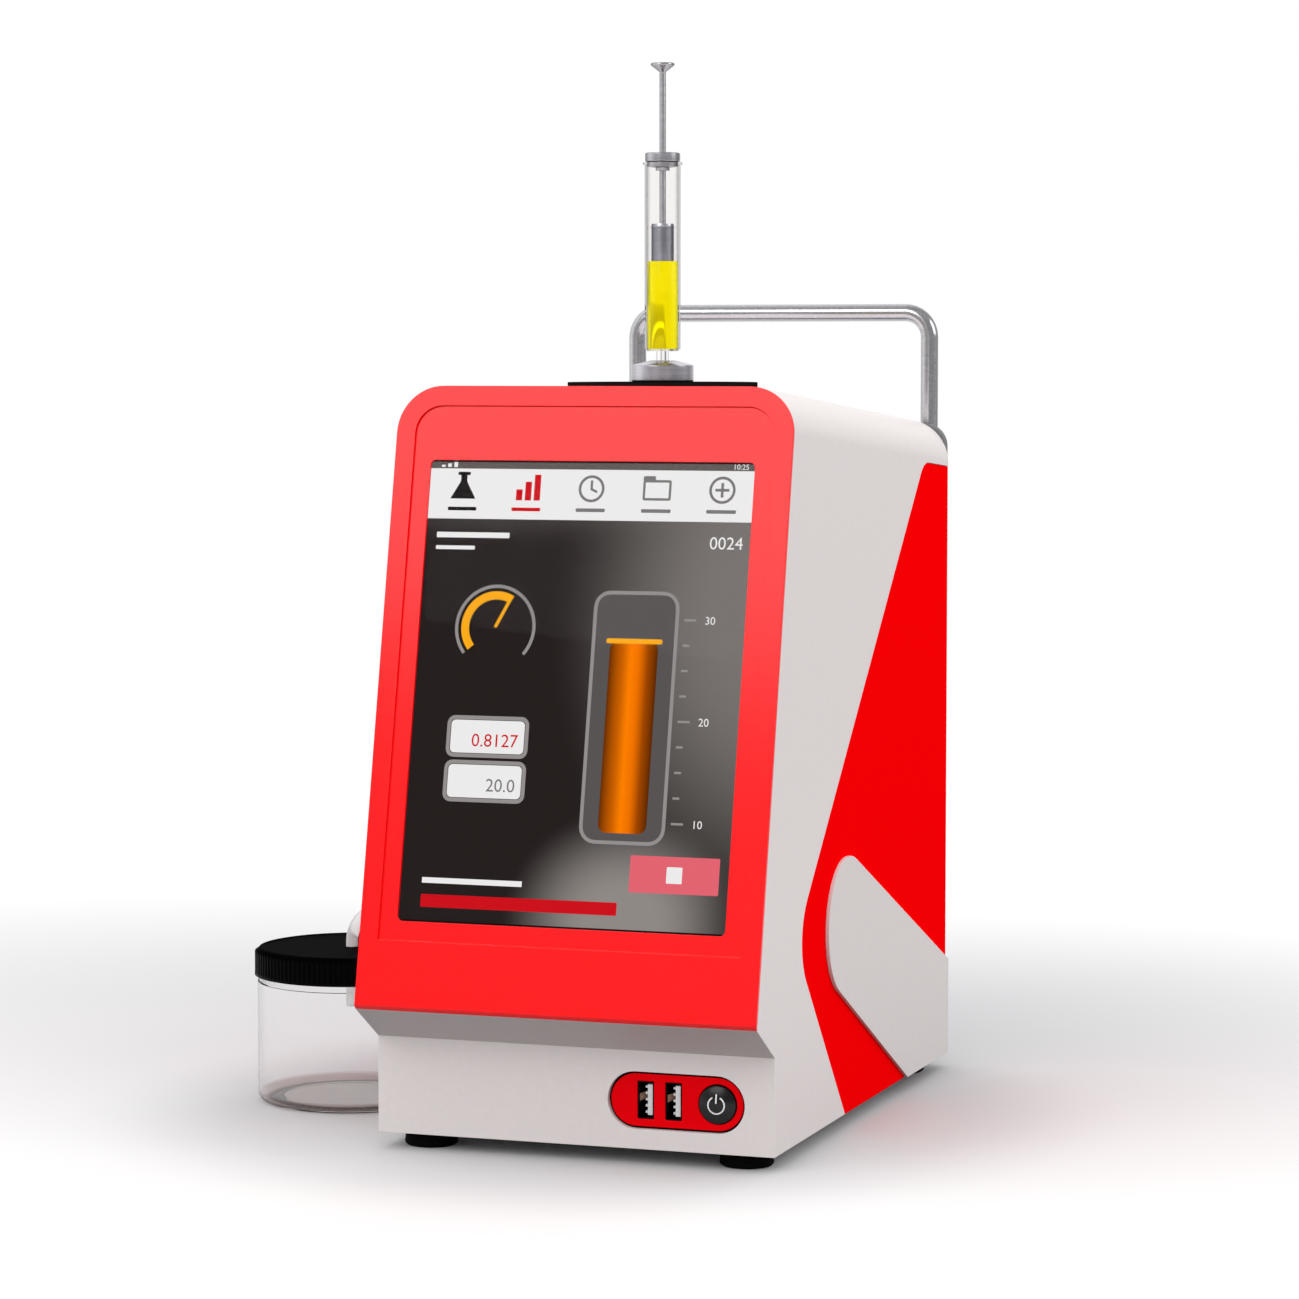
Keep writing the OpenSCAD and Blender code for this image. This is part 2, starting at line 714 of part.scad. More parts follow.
// Bed of the bezel in the slanted face; play makes it smaller, over makes it stand proud.
module bezel_form(play, over) intersection() {
    body_form(side = bezel_rim + play, top = bezel_rim + play, chin = bezel_rim + play, face = -over);
    face_slab(-over - cut, bezel_t);
}

display_half = window_half + glass_lap + display_rim;
display_low = window_low - glass_lap - display_rim;
display_high = window_high + glass_lap + display_rim;

// Corners of the red inlay in side view, before they are rounded.
inlay_low_y = nose_y + nose_z / tan(inlay_fall);
inlay_corner = meet([nose_y, foot_h + nose_z], [cos(inlay_climb), sin(inlay_climb)],
    [0, top_at(0) - inlay_drop], [1, -tan(top_fall)]);
inlay_points = [[nose_y, foot_h + nose_z], [inlay_low_y, foot_h], [body_d, foot_h],
    [body_d, top_at(body_d) - inlay_drop], inlay_corner];

module inlay_outline(grow) polygon(rounded(inset(inlay_points, [-grow, 0, 0, -grow, -grow]),
    [nose_r + grow, 0, 0, 0, inlay_r + grow]));

cover_mid = [cover_y, foot_h + cover_z];
cover_high = cover_mid + cover_r * [sin(cover_fall), cos(cover_fall)];
cover_low = cover_mid - cover_r * [sin(cover_low_fall), cos(cover_low_fall)];

module cover_outline() {
    translate(cover_mid) circle(cover_r);
    polygon([cover_low, cover_low + [1, -tan(cover_low_fall)] * (cover_low[1] - foot_h)
        / tan(cover_low_fall), [body_d, foot_h],
        [body_d, cover_high[1] - (body_d - cover_high[0]) * tan(cover_fall)], cover_high]);
}

// Quarter bend of a rod, from the +X side of its middle towards +Y.
module bend(radius, d) rotate_extrude(angle = 90) translate([radius, 0]) circle(d / 2);

// Round tube along a list of points; side holds a direction across the tube at each point.
module sweep(route, d, sides, side) {
    last = len(route) - 1;
    way = [for (k = [0 : last]) unit(k == 0 ? route[1] - route[0]
        : k == last ? route[last] - route[last - 1] : route[k + 1] - route[k - 1])];
    polyhedron(
        points = [for (k = [0 : last], j = [0 : sides - 1]) route[k]
            + d / 2 * (cos(j * 360 / sides) * cross(way[k], side[k]) + sin(j * 360 / sides) * side[k])],
        faces = concat([[for (j = [0 : sides - 1]) j]],
            [[for (j = [sides - 1 : -1 : 0]) sides * last + j]],
            [for (k = [0 : last - 1], j = [0 : sides - 1], half = [0, 1]) let (
                a = sides * k + j, b = sides * k + (j + 1) % sides)
                half == 0 ? [a, a + sides, b] : [b, a + sides, b + sides]]));
}

// ---- housing

module housing_shell() color(white) {
    housing_wrap();
    // bosses for the rear panel's screws, cast on the side walls
    difference() {
        for (side = [-1, 1], z = rear_screw_z)
            translate([side * (half_w - wall - boss_w / 2 + 0.5), body_d - boss_l / 2, z])
                cube([boss_w + 1, boss_l, boss_w], center = true);
        for_rear_screws() translate([0, 0, body_d - boss_l - cut])
            cylinder(d = screw_d, h = boss_l + 2 * cut);
    }
}

module housing_wrap() difference() {
    body_form();
    body_form(side = wall, bottom = -cut, rear = -cut, top = wall, face = bezel_t + flange_t,
        chin = wall, front = wall);
    bezel_form(0, cut);
    face_slab(-cut, bezel_edge + fit_gap);
    on_face() front_extrude(0, bezel_t + flange_t + cut)
        field(display_half + fit_gap, display_low - fit_gap, display_high + fit_gap, 0, 0);
    front_extrude(-cut, wall + cut) translate([control_x, foot_h + control_z]) pill(slot_w, slot_h);
    translate([0, port_y, platform_top - reach]) cylinder(d = spigot_d + 2 * fit_gap, h = reach);
    nipple_hole();
    for_sides() side_extrude(half_w - inlay_sink - inlay_t, half_w + cut) inlay_outline(fit_gap);
}

module front_bezel() color(red) difference() {
    union() {
        intersection() {
            bezel_form(fit_gap, 0);
            face_slab(bezel_edge / 2, bezel_t + cut);
        }
        intersection() {
            body_form();
            face_slab(-cut, bezel_edge);
        }
    }
    on_face() {
        front_extrude(-cut, field_sink) field(field_half, field_low, face_len - field_rim, 0, field_r);
        front_extrude(-cut, bezel_t + cut)
            field(window_half, window_low, window_high, window_r, window_r);
        front_extrude(field_sink + lip_t, bezel_t + cut) glass_outline(fit_gap / 2);
        translate([-body_w, 0, bezel_chamfer]) rotate([45, 0, 0])
            translate([0, -reach, -reach]) cube([2 * body_w, reach, 2 * reach]);
    }
}

module glass_outline(play) field(window_half + glass_lap + play, window_low - glass_lap - play,
    window_high + glass_lap + play, window_r, window_r);

module touch_glass() color([0.08, 0.08, 0.09]) on_face()
    front_extrude(field_sink + lip_t, bezel_t) glass_outline(0);

module display_panel() color(dark_grey) on_face() front_extrude(bezel_t, bezel_t + display_t)
    field(display_half, display_low, display_high, 0, 0);

board_y = bezel_t + display_t + board_gap;
board_half = display_half - board_side_in;
board_low = display_low + board_low_in;
board_high = display_high - board_high_in;
chip_z = board_high - 1.5 * chip_side;

module mainboard() color([0.05, 0.30, 0.15]) on_face() {
    front_extrude(board_y, board_y + board_t) field(board_half, board_low, board_high, 0, 0);
    // spacers to the display module
    for (x = [-1, 1] * (board_half - spacer_d), z = [board_low + spacer_d, board_high - spacer_d])
        along_y(x, bezel_t + display_t, z) cylinder(d = spacer_d, h = board_gap);
    // processor, memory beside it, and a row of connectors
    front_extrude(board_y + board_t, board_y + board_t + chip_t)
        translate([0, chip_z]) square(chip_side, center = true);
    for (side = [-1, 1]) front_extrude(board_y + board_t, board_y + board_t + chip_t / 2)
        translate([side * chip_side, chip_z]) square([chip_side / 3, chip_side], center = true);
    for (k = [-1 : 1]) front_extrude(board_y + board_t, board_y + board_t + connector_w)
        translate([1.6 * k * connector_l, board_low + connector_w])
            square([connector_l, connector_w], center = true);
}

module side_inlay() color(red) side_extrude(half_w - inlay_sink - inlay_t, half_w - inlay_sink)
    inlay_outline(0);
module side_inlay_right() side_inlay();
module side_inlay_left() color(red) difference() {
    mirror([1, 0, 0]) side_inlay();
    nipple_hole();
}

module corner_cover() color(white) side_extrude(half_w - inlay_sink, cover_out) cover_outline();
module corner_cover_right() corner_cover();
module corner_cover_left() color(white) difference() {
    mirror([1, 0, 0]) corner_cover();
    nipple_hole();
}

// Hole through the left side for the waste fitting's thread.
module nipple_hole() translate([-half_w, jar_y, nipple_z_abs]) rotate([0, 90, 0])
    cylinder(d = thread_d + 2 * fit_gap, h = 4 * wall, center = true);

base_half = half_w - wall - fit_gap;
base_y0 = wall + fit_gap;
base_y1 = body_d - fit_gap;

module base_plate() color(steel) difference() {
    union() {
        translate([-base_half, base_y0, foot_h]) cube([2 * base_half, base_y1 - base_y0, base_t]);
        for_sides() translate([base_half - base_t, base_y0, foot_h])
            cube([base_t, base_y1 - base_y0, base_t + base_flange]);
        translate([-base_half, base_y0, foot_h]) cube([2 * base_half, base_t, base_t + base_lip]);
    }
    for_feet() translate([0, 0, foot_h - cut])
        cylinder(d = foot_screw_d + 2 * fit_gap, h = base_t + 2 * cut);
    // air slots
    for (k = [-3 : 3], y = [0.3, 0.7])
        translate([k * air_pitch, base_y0 + (base_y1 - base_y0) * y, foot_h - cut])
            linear_extrude(base_t + 2 * cut) rotate(90) pill(air_l, air_w);
}

// ---- feet

foot_x = half_w - foot_side;
module for_feet() for (x = [-foot_x, foot_x], y = [foot_front, body_d - foot_rear])
    translate([x, y, 0]) children();

head_top = foot_h - foot_web;             // top of the screw's head in a foot
head_low = head_top - foot_head_h - fit_gap / 2;
head_r = foot_head_d / 2 + fit_gap;
foot_hole_r = foot_screw_d / 2 + fit_gap / 2;
module foot() color(black) rotate_extrude() polygon([[foot_mouth / 2, head_low],
    [foot_mouth / 2, foot_edge / 2], [foot_mouth / 2 + foot_edge, 0], [foot_d / 2 - foot_edge, 0],
    [foot_d / 2, foot_edge], [foot_d / 2 - foot_edge / 2, foot_h], [foot_hole_r, foot_h],
    [foot_hole_r, head_top], [head_r, head_top], [head_r, head_low]]);
module foot_front_left() translate([-foot_x, foot_front, 0]) foot();
module foot_front_right() translate([foot_x, foot_front, 0]) foot();
module foot_rear_left() translate([-foot_x, body_d - foot_rear, 0]) foot();
module foot_rear_right() translate([foot_x, body_d - foot_rear, 0]) foot();

module foot_screws() color(steel) for_feet() {
    translate([0, 0, head_top - foot_head_h]) cylinder(d = foot_head_d, h = foot_head_h);
    translate([0, 0, head_top]) cylinder(d = foot_screw_d, h = foot_web + base_t + foot_screw_over);
}

// ---- front controls

control_z_abs = foot_h + control_z;
usb_x = [for (side = [-1, 1]) control_x - usb_off + side * usb_pitch / 2];
button_x = control_x + button_off;
plate_rear = wall + plate_flange;

module control_plate() color(red) difference() {
    union() {
        front_extrude(plate_sink, wall) translate([control_x, control_z_abs])
            pill(slot_w - 2 * slot_gap, slot_h - 2 * slot_gap);
        front_extrude(wall, plate_rear) translate([control_x, control_z_abs])
            pill(slot_w + 2 * plate_lap, slot_h + 2 * plate_lap);
    }
    for (x = usb_x) front_extrude(0, plate_rear + cut) translate([x, control_z_abs])
        square([usb_w + 2 * fit_gap, usb_h + 2 * fit_gap], center = true);
    along_y(button_x, 0, control_z_abs) cylinder(d = button_d + 2 * button_gap, h = plate_rear + cut);
}

usb_mouth = plate_sink + usb_sink;
module usb_shells() color(steel) for (x = usb_x) difference() {
    front_extrude(usb_mouth, usb_mouth + usb_deep) translate([x, control_z_abs])
        square([usb_w, usb_h], center = true);
    front_extrude(usb_mouth - cut, usb_mouth + usb_deep - usb_wall) translate([x, control_z_abs])
        square([usb_w - 2 * usb_wall, usb_h - 2 * usb_wall], center = true);
}

module usb_tongues() color(black) for (x = usb_x)
    front_extrude(usb_mouth + tongue_sink, usb_mouth + usb_deep - usb_wall)
        translate([x + tongue_off, control_z_abs - tongue_w / 2]) square([tongue_t, tongue_w]);

button_skirt = plate_rear - button_gap - button_travel;
stem_end = plate_rear + switch_l - switch_floor - button_gap - button_travel;
// radius of the dome that rises by its height over the button's width
button_dome_r = (pow(button_d / 2, 2) + pow(button_dome, 2)) / (2 * button_dome);
module power_button() color(black) along_y(button_x, 0, control_z_abs) {
    // domed cap
    intersection() {
        translate([0, 0, button_dome_r - button_proud]) sphere(button_dome_r);
        translate([0, 0, -button_dome]) cylinder(d = button_d, h = button_skirt + button_dome);
    }
    cylinder(d = stem_d, h = stem_end);
}

module button_switch() color(dark_grey) difference() {
    along_y(button_x, plate_rear, control_z_abs) cylinder(d = button_d + 2 * switch_wall, h = switch_l);
    along_y(button_x, plate_rear - cut, control_z_abs)
        cylinder(d = stem_d + 2 * slide_fit, h = switch_l - switch_floor + cut);
}

// ---- inlet port

module top_platform() color(black) difference() {
    union() {
        difference() {
            translate([0, port_y, platform_top - 20]) cylinder(d = platform_d, h = 20);
            side_extrude(-body_w, body_w) polygon([[-body_d, top_at(-body_d)], [-body_d, 0],
                [2 * body_d, 0], [2 * body_d, top_at(2 * body_d)]]);
        }
        translate([0, port_y, top_at(port_y) - spigot_l])
            cylinder(d = spigot_d, h = spigot_l + platform_h / 2);
    }
    translate([0, port_y, 0]) cylinder(d = port_stem_d + fit_gap, h = reach);
    // groove for the seal
    translate([0, port_y, platform_top]) rotate_extrude()
        translate([port_stem_d / 2 + seal_off, 0])
            square([2 * seal_d, 2 * seal_d + 4 * slide_fit], center = true);
}

module port_seal() color(black) translate([0, port_y, platform_top - seal_d / 2 - slide_fit])
    rotate_extrude() translate([port_stem_d / 2 + seal_off, 0]) circle(d = seal_d);

// Luer taper of the tip, and of its seat with the play added.
module taper(play) rotate_extrude() polygon([[0, -tip_in], [tip_end_d / 2 + play, -tip_in],
    [tip_d / 2 + play, 0], [tip_d / 2 + play, cut], [0, cut]]);

module inlet_port() color(steel) translate([0, port_y, 0]) difference() {
    rotate_extrude() polygon([[0, port_low], [port_stem_d / 2, port_low],
        [port_stem_d / 2, platform_top], [port_d / 2 - port_edge, platform_top],
        [port_d / 2, platform_top + port_edge], [port_d / 2, port_top - port_rise - port_edge / 2],
        [port_d / 2 - port_edge / 2, port_top - port_rise], [tip_d / 2 + port_land, port_top],
        [0, port_top]]);
    translate([0, 0, port_top]) taper(slide_fit);
    translate([0, 0, port_low - cut]) cylinder(d = tip_bore, h = port_top - port_low);
}

// ---- syringe

module syringe_barrel() color([0.8, 0.9, 0.95, 0.4]) translate([0, port_y, barrel_z]) difference() {
    union() {
        rotate_extrude() polygon([[0, 0], [barrel_d / 2 - barrel_edge, 0], [barrel_d / 2, barrel_edge],
            [barrel_d / 2, barrel_l - flange_h], [flange_d / 2, barrel_l - flange_h],
            [flange_d / 2, barrel_l], [0, barrel_l]]);
        translate([0, 0, -tip_show]) taper(0);
        translate([0, 0, -tip_show]) cylinder(d = tip_d, h = tip_show + barrel_floor / 2);
    }
    translate([0, 0, barrel_floor]) cylinder(r = bore_r, h = barrel_l);
    translate([0, 0, -tip_show - tip_in - cut]) cylinder(d = tip_bore, h = tip_in + tip_show + barrel_floor + 2 * cut);
}

cap_edge = end_cap_h / 10;                // chamfer of the end cap's rim
module syringe_end_cap() color(steel) translate([0, port_y, 0]) difference() {
    rotate_extrude() polygon([[0, barrel_top - bushing_l], [bushing_d / 2, barrel_top - bushing_l],
        [bushing_d / 2, barrel_top - bushing_l * 2 / 3], [bore_r - slide_fit, barrel_top - bushing_l / 2],
        [bore_r - slide_fit, barrel_top], [end_cap_d / 2 - end_cap_gap, barrel_top],
        [end_cap_d / 2, end_cap_z], [end_cap_d / 2, end_cap_z + end_cap_h - cap_edge],
        [end_cap_d / 2 - cap_edge, end_cap_z + end_cap_h], [0, end_cap_z + end_cap_h]]);
    cylinder(r = rod_d / 2 + slide_fit, h = reach);
}

module sample_liquid() color([0.98, 0.90, 0.05]) translate([0, port_y, liquid_z])
    cylinder(r = bore_r - slide_fit, h = liquid_h);

thumb_top = thumb_z + thumb_h;
module plunger_rod() color(steel) translate([0, port_y, 0]) rotate_extrude()
    polygon([[0, piston_z + piston_floor], [rod_d / 2, piston_z + piston_floor], [rod_d / 2, thumb_z],
        [thumb_d / 2, thumb_top - thumb_rim - thumb_dome], [thumb_d / 2, thumb_top - thumb_dome],
        [thumb_d / 2 - thumb_dome, thumb_top], [0, thumb_top + thumb_dome]]);

module piston() color(dark_grey) translate([0, port_y, piston_z]) difference() {
    union() {
        cylinder(d = piston_d, h = piston_l);
        // collar above the sleeve
        translate([0, 0, piston_l - piston_neck]) cylinder(d = piston_d + rod_d / 8, h = piston_neck / 2);
    }
    translate([0, 0, piston_floor]) cylinder(d = rod_d, h = piston_l);
}

module piston_seal() color([0.92, 0.93, 0.94, 0.4]) translate([0, port_y, piston_z]) difference() {
    cylinder(r = bore_r - slide_fit, h = piston_l - piston_neck);
    translate([0, 0, -cut]) cylinder(d = piston_d, h = piston_l + cut);
}

// ---- handle

module handle_rod() color(steel) difference() {
    union() {
        translate([0, handle_y, bar_z]) rotate([0, 90, 0])
            cylinder(d = handle_d, h = 2 * (handle_half - handle_bend), center = true);
        for_sides() {
            translate([handle_half - handle_bend, handle_y, leg_top_z]) rotate([90, 0, 0])
                bend(handle_bend, handle_d);
            translate([handle_half, handle_y, leg_low_z]) cylinder(d = handle_d, h = handle_leg);
            translate([handle_half, handle_y - handle_bend, leg_low_z]) rotate([-90, 0, 90])
                bend(handle_bend, handle_d);
            along_y(handle_half, rear_face, stud_z)
                cylinder(d = handle_d, h = handle_y - handle_bend - rear_face);
        }
    }
    for_sides() along_y(handle_half, rear_face - cut, stud_z)
        cylinder(d = handle_screw_d, h = handle_screw_in + 2 * cut);
}

module handle_rosettes() color(steel) for_sides() along_y(handle_half, rear_face, stud_z)
    difference() {
        rotate_extrude() polygon([[0, 0], [rosette_d / 2, 0], [rosette_d / 2, rosette_t * 2 / 3],
            [rosette_d / 2 - rosette_t / 3, rosette_t], [0, rosette_t]]);
        translate([0, 0, -cut]) cylinder(d = handle_d + fit_gap, h = rosette_t + 2 * cut);
    }

module handle_screws() color(steel) for_sides() {
    along_y(handle_half, body_d - 0.75 * handle_screw_d, stud_z)
        cylinder(d = 2 * handle_screw_d, h = 0.75 * handle_screw_d);
    along_y(handle_half, body_d, stud_z) cylinder(d = handle_screw_d, h = rear_t + handle_screw_in);
}

// ---- rear panel

fan_c = [cell_x, foot_h + fan_z];
sockets_z_abs = foot_h + sockets_z;
inlet_x = half_w - inlet_in;
network_x = network_in - half_w;

// Upright outline (X, Z) under the housing's top at its rear edge.
module rear_outline(step, r) {
    top = top_at(body_d) - step;
    polygon(rounded([[-half_w + step, foot_h + step], [half_w - step, foot_h + step],
        [half_w - step, top], [-half_w + step, top]], [rear_low_r, rear_low_r, r, r]));
}

module fan_grille() {
    rings = floor((fan_bore / 2 - grille_mid) / grille_pitch);
    for (k = [0 : rings - 1]) difference() {
        circle(r = grille_mid + grille_pitch * k + grille_gap);
        circle(r = grille_mid + grille_pitch * k);
        for (a = [45, 135]) rotate(a) square([fan_side * 2, grille_spoke], center = true);
    }
}

rear_screw_z = [floor_z + base_flange + boss_w / 2 + boss_gap, rear_top[1] - boss_drop];
module for_rear_screws() for (x = [-1, 1] * (half_w - wall - boss_w / 2), z = rear_screw_z)
    along_y(x, 0, z) children();
module for_fan_screws() for (x = [-1, 1], z = [-1, 1])
    along_y(fan_c[0] + x * (fan_side / 2 - fan_hole_in), 0, fan_c[1] + z * (fan_side / 2 - fan_hole_in))
        children();

module rear_panel() color(dark_grey) difference() {
    front_extrude(body_d, rear_face) rear_outline(rear_step, rear_r);
    front_extrude(body_d - cut, rear_face + cut) {
        translate(fan_c) fan_grille();
        // vents above the fan
        for (k = [0 : 5]) translate([0, top_at(body_d) - rear_step - vent_top - vent_pitch * k])
            pill(vent_l, vent_h);
        translate([inlet_x, sockets_z_abs]) square([inlet_w, inlet_h]
            + [2, 2] * (inlet_wall + fit_gap), center = true);
        translate([network_x, sockets_z_abs]) square([network_w, network_h]
            + [2, 2] * (network_wall + fit_gap), center = true);
    }
    translate([0, body_d - cut, 0]) {
        for_rear_screws() cylinder(d = screw_d + fit_gap, h = rear_t + 2 * cut);
        for_fan_screws() cylinder(d = screw_d + fit_gap, h = rear_t + 2 * cut);
        for_sides() along_y(handle_half, 0, stud_z)
            cylinder(d = handle_screw_d + fit_gap, h = rear_t + 2 * cut);
    }
}

// Pan-head screws of the panel and the fan.
module rear_screws() color(steel) {
    translate([0, body_d + screw_d - boss_l, 0]) for_rear_screws()
        cylinder(d = screw_d, h = rear_t + boss_l - screw_d);
    translate([0, body_d - fan_screw_in, 0]) for_fan_screws()
        cylinder(d = screw_d, h = rear_t + fan_screw_in);
    translate([0, rear_face, 0]) {
        for_rear_screws() pan_head();
        for_fan_screws() pan_head();
    }
}
head_h = 0.6 * screw_d;
module pan_head() intersection() {
    cylinder(d = 2 * screw_d, h = head_h);
    translate([0, 0, head_h - 2 * screw_d]) sphere(r = 2 * screw_d);
}

module mains_inlet() color(black) {
    difference() {
        union() {
            front_extrude(rear_face - inlet_l, rear_face) translate([inlet_x, sockets_z_abs])
                square([inlet_w, inlet_h] + [2, 2] * inlet_wall, center = true);
            front_extrude(rear_face, rear_face + inlet_flange_t) translate([inlet_x, sockets_z_abs])
                plate(inlet_w + 2 * inlet_flange, inlet_h + 2 * inlet_flange, inlet_flange * 2 / 3);
        }
        front_extrude(rear_face - inlet_deep, rear_face + inlet_flange_t + cut)
            translate([inlet_x, sockets_z_abs]) polygon([[-inlet_w / 2, -inlet_h / 2],
                [inlet_w / 2, -inlet_h / 2], [inlet_w / 2, inlet_h / 2 - inlet_bevel],
                [inlet_w / 2 - inlet_bevel, inlet_h / 2], [-inlet_w / 2 + inlet_bevel, inlet_h / 2],
                [-inlet_w / 2, inlet_h / 2 - inlet_bevel]]);
    }
    // contact pins
    for (p = [[-1, -0.03], [0, 0.18], [1, -0.03]])
        front_extrude(rear_face - inlet_deep - cut, rear_face - inlet_deep / 8)
            translate([inlet_x + p[0] * pin_pitch, sockets_z_abs + p[1] * inlet_h])
                square([pin_pitch * 2 / 7, pin_pitch * 4 / 7], center = true);
}
pin_pitch = 7;                            // of the standard three-pin connector

module network_socket() color(steel) difference() {
    front_extrude(rear_face - network_l, rear_face + fit_gap) translate([network_x, sockets_z_abs])
        square([network_w, network_h] + [2, 2] * network_wall, center = true);
    front_extrude(rear_face - network_deep, rear_face + cut) translate([network_x, sockets_z_abs]) {
        square([network_w, network_h], center = true);
        // keyway of the plug's latch
        translate([0, -network_h / 2]) square([network_w / 2, network_wall], center = true);
    }
}

// ---- fan

fan_y0 = body_d - fan_deep;               // the frame is screwed to the panel's inner face
rotor_l = fan_deep - motor_t - hub_gap - hub_rear_gap;

module fan_frame() color(black) difference() {
    union() {
        difference() {
            front_extrude(fan_y0, body_d) translate(fan_c) plate(fan_side, fan_side, fan_hole_in);
            along_y(fan_c[0], fan_y0 - cut, fan_c[1]) cylinder(d = fan_bore, h = fan_deep + 2 * cut);
        }
        // motor plate, its struts and the shaft
        along_y(fan_c[0], fan_y0, fan_c[1]) {
            cylinder(d = hub_d, h = motor_t);
            cylinder(d = shaft_d, h = motor_t + hub_gap + 0.8 * rotor_l);
        }
        front_extrude(fan_y0, fan_y0 + motor_t) translate(fan_c) difference() {
            for (a = [45, 135]) rotate(a) square([fan_side, strut_w], center = true);
            circle(d = hub_d - strut_w);
            difference() {
                circle(d = fan_side * 2);
                circle(d = (fan_bore + fan_side) / 2);
            }
        }
    }
    translate([0, fan_y0, 0]) for_fan_screws() cylinder(d = screw_d, h = fan_deep + cut);
}

module fan_rotor() color(dark_grey) along_y(fan_c[0], fan_y0 + motor_t + hub_gap, fan_c[1]) difference() {
    union() {
        cylinder(d = hub_d, h = rotor_l);
        intersection() {
            cylinder(d = fan_bore - fan_hole_in, h = rotor_l);
            for (k = [0 : blades - 1]) rotate(k * 360 / blades)
                translate([hub_d / 2 - blade_t, 0, rotor_l / 2]) rotate([blade_turn, 0, 0])
                    translate([0, -blade_t / 2, -fan_deep]) cube([fan_bore / 2, blade_t, 2 * fan_deep]);
        }
    }
    translate([0, 0, -cut]) cylinder(d = shaft_d + 2 * slide_fit, h = fan_deep);
}

// ---- measuring cell

module cell_shelf() color(steel) {
    translate([-shelf_half, shelf_y0, shelf_z - shelf_t]) cube([2 * shelf_half, shelf_y1 - shelf_y0, shelf_t]);
    for_sides() {
        translate([shelf_half - shelf_t, shelf_y0, floor_z])
            cube([shelf_t, shelf_y1 - shelf_y0, shelf_h + shelf_t]);
        translate([shelf_half - shelf_foot, shelf_y0, floor_z])
            cube([shelf_foot, shelf_y1 - shelf_y0, shelf_t]);
    }
}
shelf_half = supply_w / 2 + shelf_over;
shelf_y0 = port_y - block_side / 2 - foam_t - shelf_rim;
shelf_y1 = sink_y + sink_base + fin_l + shelf_rim;

module on_cell() translate([cell_x, port_y, 0]) children();

module thermostat_block() color([0.75, 0.76, 0.78]) on_cell() difference() {
    translate([-block_side / 2, -block_side / 2, block_z]) cube([block_side, block_side, block_h]);
    translate([0, 0, block_z + block_floor]) cylinder(d = block_bore, h = block_h);
}

u_low = block_z + tube_lift;                     // where the two legs meet the bend
module u_tube() color([0.8, 0.9, 0.95, 0.5]) on_cell() {
    for (side = [-1, 1]) translate([side * tube_pitch / 2, 0, u_low + tube_pitch / 2]) difference() {
        cylinder(d = tube_d, h = tube_top - u_low - tube_pitch / 2);
        translate([0, 0, -cut]) cylinder(d = tube_d - 2 * tube_wall, h = tube_top - u_low);
    }
    translate([0, 0, u_low + tube_pitch / 2]) rotate([-90, 0, 0]) rotate_extrude(angle = 180)
        translate([tube_pitch / 2, 0]) difference() {
            circle(d = tube_d);
            circle(d = tube_d - 2 * tube_wall);
        }
}

module cell_cap() color(steel) on_cell() difference() {
    union() {
        translate([-block_side / 2, -block_side / 2, block_top]) cube([block_side, block_side, cell_cap_t]);
        translate([0, 0, block_top - plug_l]) cylinder(d = block_bore - fit_gap, h = plug_l + cut);
    }
    for (side = [-1, 1]) translate([side * tube_pitch / 2, 0, block_top - plug_l - cut])
        cylinder(d = tube_d + 2 * slide_fit, h = plug_l + cell_cap_t + 2 * cut);
}

foam_half = block_side / 2 + foam_t;
module cell_insulation() color([0.25, 0.25, 0.27]) on_cell() difference() {
    translate([-foam_half, -foam_half, shelf_z])
        cube([2 * foam_half, foam_half + block_side / 2, cell_top - shelf_z]);
    translate([-block_side / 2 - fit_gap, -block_side / 2 - fit_gap, block_z])
        cube([block_side + 2 * fit_gap, block_side + foam_t, block_h + cell_cap_t + cut]);
}

sink_z = block_z + block_h / 2;
module cooling_element() color([0.9, 0.9, 0.88]) translate([cell_x - peltier_side / 2, block_rear,
    sink_z - peltier_side / 2]) cube([peltier_side, peltier_t, peltier_side]);

module heat_sink() color([0.75, 0.76, 0.78]) translate([cell_x, sink_y, shelf_z]) {
    translate([-sink_w / 2, 0, 0]) cube([sink_w, sink_base, block_h]);
    for (k = [0 : fins - 1]) translate([-sink_w / 2 + k * (sink_w - fin_t) / (fins - 1), 0, 0])
        cube([fin_t, sink_base + fin_l, block_h]);
}

supply_slots = floor((supply_w - 6 * supply_slot) / supply_pitch);
module power_supply() color([0.75, 0.76, 0.78]) translate([-supply_w / 2, wall + supply_in, floor_z]) {
    for (x = [supply_foot_d, supply_w - supply_foot_d], y = [supply_foot_d, supply_l - supply_foot_d])
        translate([x, y, 0]) cylinder(d = supply_foot_d, h = supply_foot_h);
    translate([0, 0, supply_foot_h]) difference() {
        cube([supply_w, supply_l, supply_h]);
        for (k = [0 : supply_slots - 1])
            translate([3 * supply_slot + k * supply_pitch, -cut, 2 * supply_slot])
                cube([supply_slot, supply_slot + cut, supply_h - 4 * supply_slot]);
    }
}

// ---- tubes

module sample_tube() color([0.9, 0.9, 0.9]) translate([0, port_y, tube_top]) difference() {
    cylinder(d = pipe_d, h = port_low - tube_top);
    translate([0, 0, -cut]) cylinder(d = tip_bore, h = port_low - tube_top + 2 * cut);
}

// The outlet tube rises out of the measuring tube, crosses to the left wall and drops to the fitting.
drop = [-half_w + wall + pipe_in, jar_y, 0];
out_leg = [-tube_pitch, port_y, 0];
out_way = unit(drop - out_leg);
out_bend_z = tube_top + pipe_rise;

